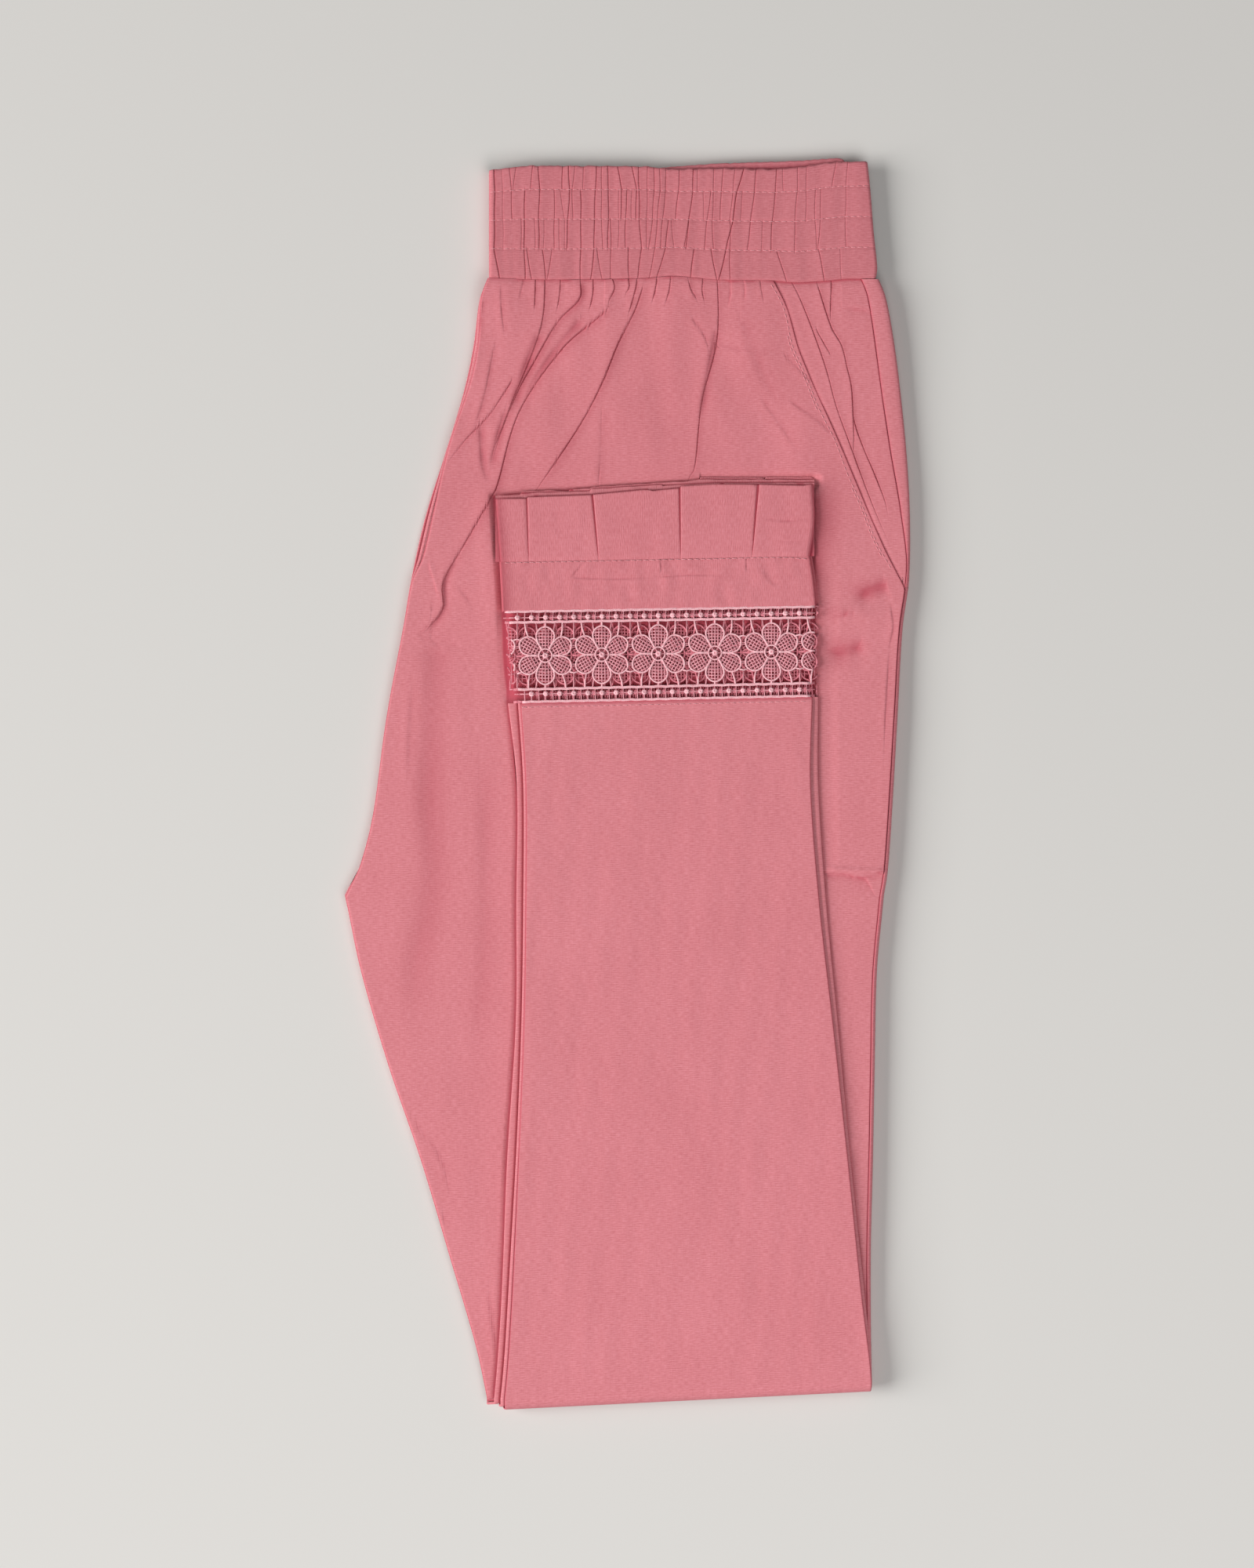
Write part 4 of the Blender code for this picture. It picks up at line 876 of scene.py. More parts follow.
def grid_object(
    name: str, points: Array, uv: Array, up: Sequence[float], fold: Optional[Array] = None
) -> Object:
    """Lay a grid of faces through points.

    Args:
        name: The piece's name.
        points: Points, in an array of rows, columns and 3.
        uv: Places on the flat cloth in millimetres, in an array of rows, columns and 2.
        up: The side that the middle face of the first row looks to.
        fold: How much painted shade darkens each point, from 0 to 1.

    Returns:
        The new object, at the origin.
    """
    rows, columns = points.shape[:2]
    bm = bmesh.new()
    bmesh.ops.create_grid(bm, x_segments=columns - 1, y_segments=rows - 1, size=1.0)
    mesh = bpy.data.meshes.new(name)
    bm.to_mesh(mesh)
    bm.free()
    mesh.vertices.foreach_set("co", (points * MM).ravel())
    loops = np.empty(len(mesh.loops), dtype=int)
    mesh.loops.foreach_get("vertex_index", loops)
    layer = mesh.uv_layers.new(name="cloth")
    layer.data.foreach_set("uv", (uv.reshape(-1, 2)[loops] * MM).ravel())
    # the painted shade amount is kept on each point for the cloth's finish
    if fold is not None:
        depth = mesh.attributes.new("painted_shade_amount", "FLOAT", "POINT")
        depth.data.foreach_set("value", np.clip(fold, 0.0, 1.0).ravel())
    mesh.update()
    middle = columns // 2
    across = points[0, middle + 1] - points[0, middle]
    along = points[1, middle] - points[0, middle]
    if np.dot(np.cross(across, along), up) < 0:
        mesh.flip_normals()
    mesh.shade_smooth()
    return link(name, mesh)


# Finishes

def linear(colour: str) -> tuple[float, float, float, float]:
    """Turn an sRGB hex colour into linear values with full alpha.

    Args:
        colour: The colour, as #RRGGBB.

    Returns:
        Its four values.
    """
    parts = [int(colour[i:i + 2], 16) / 255 for i in (1, 3, 5)]
    bent = [c / 12.92 if c <= 0.04045 else ((c + 0.055) / 1.055) ** 2.4 for c in parts]
    return (bent[0], bent[1], bent[2], 1.0)


def add_node(
    tree: NodeTree,
    kind: str,
    settings: Optional[dict] = None,
    inputs: Optional[dict] = None,
) -> Node:
    """Add a node to a material.

    Args:
        tree: The material's node tree.
        kind: The node's type name, without ShaderNode.
        settings: Values of the node's own settings.
        inputs: For each input's name or number a value, or an output to link.

    Returns:
        The new node.
    """
    node = tree.nodes.new("ShaderNode" + kind)
    for key, value in (settings or {}).items():
        setattr(node, key, value)
    for key, value in (inputs or {}).items():
        if isinstance(value, NodeSocket):
            tree.links.new(value, node.inputs[key])
        else:
            node.inputs[key].default_value = value
    return node


def start_material(
    name: str, inputs: dict
) -> tuple[Material, NodeTree, Node]:
    """Start a material with its shader.

    Args:
        name: The material's name.
        inputs: Values of the shader's own sockets.

    Returns:
        The material, its node tree and its shader.
    """
    material = bpy.data.materials.new(name)
    material.use_nodes = True
    shader = material.node_tree.nodes["Principled BSDF"]
    for key, value in inputs.items():
        shader.inputs[key].default_value = value
    return material, material.node_tree, shader


@dataclass(frozen=True)
class SlubCotton:
    """Plain-woven cotton with uneven slubbed yarns, dyed in the piece and pressed.

    Thick yarns show as short pale dashes across the cloth, thin ones as soft lines along it,
    between fine crimped ribs that are stronger in patches. Where a sheet's painted shade
    amount is high, painted shade mixes the colour towards the deep red, in creases, seams,
    corners and hollows. It is matt with a faint bloom of fibre.
    """

    name: str
    base: str
    slub: str
    gap: str
    # deep is the colour of the painted shade in creases, seams and corners
    deep: str
    dash: Pair = (2.6, 0.46)
    line: Pair = (0.56, 4.0)
    patch: Pair = (14.0, 9.0)
    cloud: Pair = (46.0, 38.0)
    rib: float = 0.97  # the real ribs, 0.45 mm apart, would be finer than a pixel
    roughness: float = 0.9
    sheen: float = 0.08
    relief: float = 0.00009

    def make(self) -> Material:
        """Build the material.

        Returns:
            The material.
        """
        material, tree, shader = start_material(self.name, {
            "Roughness": self.roughness,
            "Metallic": 0.0,
            "IOR": 1.5,
            "Specular IOR Level": 0.2,
            "Sheen Weight": self.sheen,
            "Sheen Roughness": 0.6,
            "Sheen Tint": linear(self.slub),
        })
        place = add_node(tree, "UVMap", {"uv_map": "cloth"}).outputs[0]
        scale = 2 * math.pi / 20 / (self.rib * MM)
        ribs = add_node(
            tree,
            "TexWave",
            {"wave_type": "BANDS", "bands_direction": "Y"},
            {"Vector": place, "Scale": scale, "Distortion": 5.0, "Detail": 2.0, "Detail Scale": 0.35},
        )
        patches = self.yarns(tree, place, self.patch, 2.0)
        limits = {"Value": patches, "From Min": 0.36, "From Max": 0.66, "To Min": 0.03, "To Max": 0.30}
        depth = add_node(tree, "MapRange", inputs=limits)
        level = self.add_part(tree, ribs.outputs["Fac"], depth.outputs[0], 0.5)
        level = self.add_part(tree, self.yarns(tree, place, self.dash, 1.0), 1.0, level)
        level = self.add_part(tree, self.yarns(tree, place, self.line, 1.0), 0.3, level)
        level = self.add_part(tree, self.yarns(tree, place, self.cloud, 1.0), 0.2, level)
        ramp = add_node(tree, "ValToRGB", inputs={"Fac": level})
        stops = ramp.color_ramp.elements
        stops[0].position = 0.05
        stops[0].color = linear(self.gap)
        stops[1].position = 0.95
        stops[1].color = linear(self.slub)
        middle = stops.new(0.5)
        middle.color = linear(self.base)
        # painted shade: each point's shade amount mixes the colour towards deep
        fold = add_node(
            tree, "Attribute", {"attribute_type": "GEOMETRY", "attribute_name": "painted_shade_amount"}
        )
        colour = add_node(
            tree,
            "Mix",
            {"data_type": "RGBA"},
            {0: fold.outputs["Fac"], 6: ramp.outputs[0], 7: linear(self.deep)},
        )
        relief = {"Height": level, "Strength": 0.7, "Distance": self.relief}
        bump = add_node(tree, "Bump", inputs=relief)
        tree.links.new(colour.outputs[2], shader.inputs["Base Color"])
        tree.links.new(bump.outputs[0], shader.inputs["Normal"])
        return material

    def add_part(
        self,
        tree: NodeTree,
        value: NodeSocket,
        strength: NodeSocket | float,
        level: NodeSocket | float,
    ) -> NodeSocket:
        """Add one pattern to the cloth's level without a change of its mean.

        Args:
            tree: The material's node tree.
            value: The pattern, from 0 to 1.
            strength: How much of it is added.
            level: What it is added to.

        Returns:
            The new level.
        """
        centred = add_node(tree, "Math", {"operation": "SUBTRACT"}, {0: value, 1: 0.5})
        inputs = {0: centred.outputs[0], 1: strength, 2: level}
        return add_node(tree, "Math", {"operation": "MULTIPLY_ADD"}, inputs).outputs[0]

    def yarns(
        self,
        tree: NodeTree,
        place: NodeSocket,
        size: Pair,
        detail: float,
    ) -> NodeSocket:
        """Add uneven marks of a size.

        Args:
            tree: The material's node tree.
            place: The place on the flat cloth.
            size: The marks' extent across and along the cloth.
            detail: How much finer detail they have.

        Returns:
            The strength of the marks.
        """
        scale = (1 / (size[0] * MM), 1 / (size[1] * MM), 1.0)
        mapped = add_node(tree, "Mapping", inputs={"Vector": place, "Scale": scale})
        noise = add_node(
            tree,
            "TexNoise",
            {"noise_dimensions": "2D"},
            {"Vector": mapped.outputs[0], "Scale": 1.0, "Detail": detail, "Roughness": 0.55},
        )
        return noise.outputs["Fac"]


@dataclass(frozen=True)
class TwistedThread:
    """Shiny rayon thread of the lace and the stitches, in a paler pink than the cloth."""

    name: str
    colour: str
    shadow: str
    roughness: float = 0.5
    twist: float = 0.5

    def make(self) -> Material:
        """Build the material.

        Returns:
            The material.
        """
        material, tree, shader = start_material(
            self.name, {"Roughness": self.roughness, "Metallic": 0.0, "Sheen Weight": 0.25}
        )
        place = add_node(tree, "TexCoord").outputs["Object"]
        scale = (1 / (self.twist * MM),) * 3
        mapped = add_node(tree, "Mapping", inputs={"Vector": place, "Scale": scale})
        noise = add_node(
            tree, "TexNoise", inputs={"Vector": mapped.outputs[0], "Scale": 1.0, "Detail": 2.0}
        )
        ramp = add_node(tree, "ValToRGB", inputs={"Fac": noise.outputs["Fac"]})
        stops = ramp.color_ramp.elements
        stops[0].position = 0.3
        stops[0].color = linear(self.shadow)
        stops[1].position = 0.62
        stops[1].color = linear(self.colour)
        relief = {"Height": noise.outputs["Fac"], "Strength": 0.5, "Distance": 0.0001}
        bump = add_node(tree, "Bump", inputs=relief)
        tree.links.new(ramp.outputs[0], shader.inputs["Base Color"])
        tree.links.new(bump.outputs[0], shader.inputs["Normal"])
        return material


class Held(Enum):
    """How a sheet of cloth is held."""

    LAID = "laid"
    FOLDED = "folded"
    GATHERED = "gathered"


class Slot(Enum):
    """Material slots of the part."""

    CLOTH = "cloth"
    BAND = "waistband"
    LACE = "lace"


def dress(
    piece: Object,
    material: Material,
    replaces: Sequence[str] = (),
) -> Object:
    """Give a piece its finish, hang it on the root and hide the solids that it replaces.

    Args:
        piece: The piece.
        material: Its finish.
        replaces: The solids that it replaces.

    Returns:
        The piece.
    """
    piece.data.materials.clear()
    piece.data.materials.append(material)
    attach(piece, "root")
    if replaces:
        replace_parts(piece, *replaces)
    log.info("%s made", piece.name)
    return piece


@dataclass(frozen=True)
class Cut:
    """A cut of cloth: its piece and solid, its flat size in metres, and how it lies on what."""

    name: str
    node: str
    flat: Pair
    held: Held
    rests_on: tuple[str, ...]
    area: Optional[float] = None
    slot: Slot = Slot.CLOTH

    def lay(
        self,
        material: Material,
        points: Array,
        uv: Array,
        up: Sequence[float],
        fold: Optional[Array] = None,
    ) -> Object:
        """Make the sheet through points.

        Args:
            material: Its finish.
            points: Points, in an array of rows, columns and 3.
            uv: Places on the flat cloth in millimetres.
            up: The side that the middle face of the first row looks to.
            fold: How much painted shade darkens each point.

        Returns:
            The piece.
        """
        piece = dress(grid_object(self.name, points, uv, up, fold), material, [self.node])
        return piece


@dataclass
class ThreadWork:
    """Runs of round thread that end up in one mesh."""

    name: str
    radius: float
    sides: int = 1

    def __post_init__(self) -> None:
        """Start with no runs."""
        self.runs: list[Array] = []

    def make(self, material: Material, slot: Slot) -> Object:
        """Turn the runs into one mesh piece.

        Args:
            material: The thread's finish.
            slot: The part's material slot. It is not used.

        Returns:
            The piece.
        """
        curve = bpy.data.curves.new(self.name, "CURVE")
        curve.dimensions = "3D"
        curve.bevel_depth = self.radius * MM
        curve.bevel_resolution = self.sides
        curve.use_fill_caps = True
        for points in self.runs:
            spline = curve.splines.new("POLY")
            spline.points.add(len(points) - 1)
            lifted = np.hstack([points * MM, np.ones((len(points), 1))])
            spline.points.foreach_set("co", lifted.ravel())
        guide = link(self.name + "_guide", curve)
        evaluated = guide.evaluated_get(bpy.context.evaluated_depsgraph_get())
        mesh = bpy.data.meshes.new_from_object(evaluated)
        bpy.data.objects.remove(guide)
        bm = bmesh.new()
        bm.from_mesh(mesh)
        bmesh.ops.remove_doubles(bm, verts=bm.verts, dist=0.000001)
        bm.to_mesh(mesh)
        bm.free()
        mesh.name = self.name
        mesh.shade_smooth()
        return dress(link(self.name, mesh), material)


@dataclass
class Stitches:
    """Rows of machine stitches that lie on a surface."""

    work: ThreadWork
    length: float = 2.1
    pitch: float = 2.9
    sink: float = 0.16

    def row(self, route: Points, height: Callable[[Array, Array], Array]) -> None:
        """Sew along a route.

        Args:
            route: Points (x, y) in millimetres.
            height: The surface's height at places.
        """
        line = np.array(route, dtype=float)
        steps = np.hypot(*np.diff(line, axis=0).T)
        passed = np.concatenate([[0.0], np.cumsum(steps)])
        starts = np.arange(0.3, passed[-1] - self.length, self.pitch)
        for start in starts:
            at = start + self.length * np.array([0.0, 0.18, 0.5, 0.82, 1.0])
            x = np.interp(at, passed, line[:, 0])
            y = np.interp(at, passed, line[:, 1])
            lift = np.array([-self.sink, 0.05, 0.12, 0.05, -self.sink])
            self.work.runs.append(np.stack([x, y, height(x, y) + lift], axis=-1))


# Panels

@dataclass
class TopFront:
    """The left front: thigh and gathered hip on top, knee turn, and calf hidden beneath."""

    CUT = Cut("left_front_sheet", "left_front", (0.262, 0.84), Held.FOLDED, ("back_panels_sheet",), 0.162)
    cloth: Material
    columns: int = 80
    seam_step: float = 0.8
    hip_step: float = 1.6
    covered_step: float = 2.2
    thigh_step: float = 7.0
    roll: float = 1.1

    def left(self, rows: Rows) -> Array:
        """Left edge of each row.

        Args:
            rows: The rows.

        Returns:
            Its place across.
        """
        thigh = rows.meet(lambda y: thigh_edge(y, "left") + FRONT_INSETS("crotch_side", y))
        calf = rows.calf("under_left") + 1.9
        return np.where(rows.upper_side, calf, thigh)

    def seam(self, rows: Rows) -> Array:
        """Side seam of each row, or the pocket opening where that comes first.

        Args:
            rows: The rows.

        Returns:
            Its place across.
        """
        thigh = rows.meet(lambda y: thigh_edge(y, "right") - FRONT_INSETS("seam_side", y))
        slanted = np.where(rows.y > POCKET_TOP_Y, POCKET_SLANT("x", rows.y), 1e3)
        calf = rows.calf("under_right") - 0.5
        return np.where(rows.upper_side, calf, np.minimum(thigh, slanted))

    def make(self) -> None:
        """Build the panel."""
        heights = np.concatenate([
            falling(WAIST_Y - 0.05, 143.5, self.hip_step),
            falling(142.6, 130.6, self.seam_step),
            falling(129.2, THIGH_TOP_Y, self.covered_step),
            falling(THIGH_TOP_Y - 2.0, -36.0, self.thigh_step),
            falling(-37.0, -43.0, self.seam_step),
            falling(-45.0, -148.0, self.thigh_step),
            falling(-150.0, -206.0, 4.0),
            falling(-209.0, -274.0, self.thigh_step),
        ])
        rows = Rows.join(Rows.lower(heights, wave=1.0), Rows.knee(8), Rows.upper(LACE_BOTTOM, 6))
        left = self.left(rows)
        right = self.seam(rows)
        creases = HIP_CREASES + SEAM_TUCKS
        places = [crease.columns(rows.y) for crease in creases] + STACK.columns(rows.y)
        x = spread_columns(left, right, self.columns, places)
        thigh = ~rows.upper_side[:, None] & (rows.turn[:, None] == 0)
        depth = np.full_like(x, LEFT_FRONT_FACE)
        y = rows.at(x, depth)[..., 1]
        lift = hip_lift(rows.y)[:, None] + front_relief(x, y)
        edge = np.minimum(x - left[:, None], right[:, None] - x)
        uneven = 0.55 + 0.45 * waves(x, 0.0 * x, 9.0, 12)
        # painted shade along the edges and under the waist seam, in the creases, in the stack's corner and in
        # soft patches
        fold = np.maximum(painted_edge_shade(edge), uneven * painted_edge_shade(waist_seam(x) - y, 0.5))
        inside = np.maximum(deepest(creases, x, y), STACK.fold(x, y))
        fold = np.maximum(fold, np.where(thigh, inside, 0.0))
        fold += np.where(thigh, painted_soft_shade(x, y), 0.0)
        depth -= np.where(thigh, lift, 0.0)
        depth += roll_off(x - left[:, None], self.roll)
        depth += roll_off(right[:, None] - x, FLAT_ROLL)
        self.CUT.lay(self.cloth, rows.at(x, depth), rows.flat(x), UP, fold)

    def sew(self, stitches: Stitches) -> None:
        """Sew the doubled edge of the slanted pocket opening.

        Args:
            stitches: The stitches.
        """
        for inset, start, end in ((2.2, 229.0, 98.0), (3.3, 206.0, 171.0), (3.2, 136.0, 104.0)):
            y = np.linspace(start, end, 90)
            x = POCKET_SLANT("x", y) - inset + 0.35 * np.sin(y * 0.21)
            stitches.row(np.stack([x, y], axis=-1), lambda px, py: self.height(px, py) - 0.02)

    def height(self, x: Array, y: Array) -> Array:
        """Height of the panel's face on the thigh."""
        return TURN_Z - LEFT_FRONT_FACE + hip_lift(y) + front_relief(x, y)


@dataclass
class PocketSide:
    """The piece under a slanted pocket opening, as far as the side seam."""

    TOP_CUT = Cut(
        "left_pocket_side_sheet", "left_pocket_side", (0.065, 0.14), Held.LAID, ("back_panels_sheet",), 0.0051
    )
    FLOOR_CUT = Cut(
        "right_pocket_side_sheet", "right_pocket_side", (0.065, 0.14), Held.LAID, ("floor",), 0.0051
    )
    cloth: Material
    columns: int = 50
    end_y: float = 89.8
    step: float = 1.4
    tuck: float = 3.0

    def relief(self, x: Array, y: Array) -> Array:
        """Height of the upper piece's face above the wall of its solid.

        Args:
            x: Places across.
            y: Places along.

        Returns:
            The heights.
        """
        total = 0.72 + seam_lift(x, y)
        for crease in POCKET_CREASES:
            total = total + crease.relief(x, y)
        total += 0.15 * waves(x, y, 18.0, 11, 2.0)
        opening = x - POCKET_SLANT("x", y)
        total -= 0.2 * bell(opening, 1.2)
        total -= 0.9 * bell(waist_seam(x) - y, 1.6)
        return np.clip(total, -1.2, 3.4)

    def make(self) -> None:
        """Build the visible piece and the plain one on the surface."""
        heights = falling(WAIST_Y - 0.05, self.end_y, self.step)
        rows = Rows.lower(heights, wave=1.0)
        left = POCKET_SLANT("x", heights) - self.tuck * ease((heights - 96.0) / 8.0)
        right = thigh_edge(heights, "right") - FRONT_INSETS("seam_side", heights)
        places = [crease.columns(heights) for crease in POCKET_CREASES]
        x = spread_columns(left, right, self.columns, places)
        y = rows.at(x, np.zeros_like(x))[..., 1]
        lift = hip_lift(heights)[:, None] + self.relief(x, y)
        hidden = ease((POCKET_SLANT("x", y) - x) / 1.5)
        depth = LEFT_FRONT_FACE - lift + 0.75 * hidden + roll_off(right[:, None] - x, FLAT_ROLL)
        # painted shade along the pocket opening, the creases, the waist seam and the side seam, and in soft
        # patches
        opening = 0.6 * painted_edge_shade(POCKET_SLANT("x", y) - x, 0.5)
        fold = np.maximum(deepest(POCKET_CREASES, x, y), opening)
        fold = np.maximum(fold, painted_edge_shade(waist_seam(x) - y, 0.45))
        fold = np.maximum(fold, painted_edge_shade(right[:, None] - x)) + painted_soft_shade(x, y)
        self.TOP_CUT.lay(self.cloth, rows.at(x, depth), rows.flat(x), UP, fold)
        rows = Rows.lower(falling(WAIST_Y - 0.15, POCKET_END_Y, 8.0))
        right = thigh_edge(rows.y, "right") - FLOOR_SEAM_INSET
        x = spread_columns(POCKET_SLANT("x", rows.y) + 0.15, right, 10)
        depth = RIGHT_FRONT_FACE - roll_off(right[:, None] - x, 0.6)
        self.FLOOR_CUT.lay(self.cloth, rows.at(x, depth), rows.flat(x), DOWN)


@dataclass
class FloorFront:
    """The right front: on the surface, turned round the knee, and the calf on top of all."""

    CUT = Cut(
        "right_front_sheet", "right_front", (0.262, 0.85), Held.FOLDED, ("floor", "back_panels_sheet"), 0.163
    )
    cloth: Material
    columns: int = 132
    calf_steps: int = 190
    roll: float = 0.5
    floor_roll: float = 1.3

    def left(self, rows: Rows) -> Array:
        """Left edge of each row.

        Args:
            rows: The rows.

        Returns:
            Its place across.
        """
        share = np.clip((SLOPE_START_Y - rows.y) / (SLOPE_START_Y - TURN_Y), 0, 1) ** 3
        thigh = mix(rows.thigh("left"), -57.0, share)
        calf = rows.calf("top_left")
        return np.where(rows.upper_side, calf, thigh)

    def seam(self, rows: Rows) -> Array:
        """Side seam of each row, or the pocket opening where that comes first.

        Args:
            rows: The rows.

        Returns:
            Its place across.
        """
        thigh = rows.thigh("right") - FLOOR_SEAM_INSET
        slanted = np.where(rows.y > POCKET_TOP_Y, POCKET_SLANT("x", rows.y) - 0.15, 1e3)
        calf = rows.calf("top_right")
        return np.where(rows.upper_side, calf, np.minimum(thigh, slanted))

    def relief(self, x: Array, y: Array) -> Array:
        """Height of the calf's face above the wall of its solid.

        Args:
            x: Places across.
            y: Places along.

        Returns:
            The heights.
        """
        total = 0.13 * waves(x, y, 34.0, 21, 1.6) + 0.10 * waves(x, y, 14.0, 22, 5.0)
        total += 0.06 * waves(x, y, 9.0, 23, 0.4)
        for crease in CALF_CREASES:
            total = total + crease.relief(x, y)
        hem = bell(cross_line(LACE_BOTTOM, x) - y, 3.2)
        return total + 0.28 * hem

    def height(self, x: Array, y: Array) -> Array:
        """Height of the visible calf."""
        return TURN_Z + RIGHT_FRONT_FACE + self.relief(x, y)

    def sew(self, stitches: Stitches) -> None:
        """Sew the calf's edge along the lace.

        Args:
            stitches: The stitches.
        """
        x = np.linspace(-48.4, 84.2, 90)
        line = np.stack([x, cross_line(LACE_BOTTOM, x) - 2.0], axis=-1)
        stitches.row(line, lambda px, py: self.height(px, py) + 0.03)

    def make(self) -> None:
        """Build the panel."""
        rows = Rows.join(
            Rows.lower(falling(WAIST_Y - 0.15, TURN_Y + 6.0, 9.0)),
            Rows.knee(16),
            Rows.upper(LACE_BOTTOM, self.calf_steps),
        )
        left = self.left(rows)
        right = self.seam(rows)
        x = spread_columns(left, right, self.columns)
        upper = rows.upper_side[:, None]
        depth = np.full_like(x, RIGHT_FRONT_FACE)
        y = rows.at(x, depth)[..., 1]
        edge = np.minimum(x - left[:, None], right[:, None] - x)
        wake = ease((y - TURN_Y + 4.0) / 14.0) * ease(edge / 4.0)
        depth += np.where(upper, self.relief(x, y) * wake, 0.0)
        roll = np.where(upper, self.roll, self.floor_roll)
        depth -= roll_off(x - left[:, None], roll)
        depth -= roll_off(right[:, None] - x, roll)
        end = np.where(upper, cross_line(LACE_BOTTOM, x) - y, 99.0)
        depth -= roll_off(end, 0.5)
        # painted shade along the calf's edges
        fold = np.where(upper, np.maximum(painted_edge_shade(edge), painted_edge_shade(end)), 0.0)
        self.CUT.lay(self.cloth, rows.at(x, depth), rows.flat(x), DOWN, fold)


CALF_CREASES = creases_from(
    "lip valley cut width side",
    (0.12, 0.12, 0, 4, 1, (-36, -150), (-20, -149), (0, -147)),
    (0.08, 0.1, 0, 3, -1, (-40, -8), (10, -10), (60, -8)),
    (0.1, 0.12, 0, 2.4, 1, (-30, 33), (0, 32), (30, 34)),
)


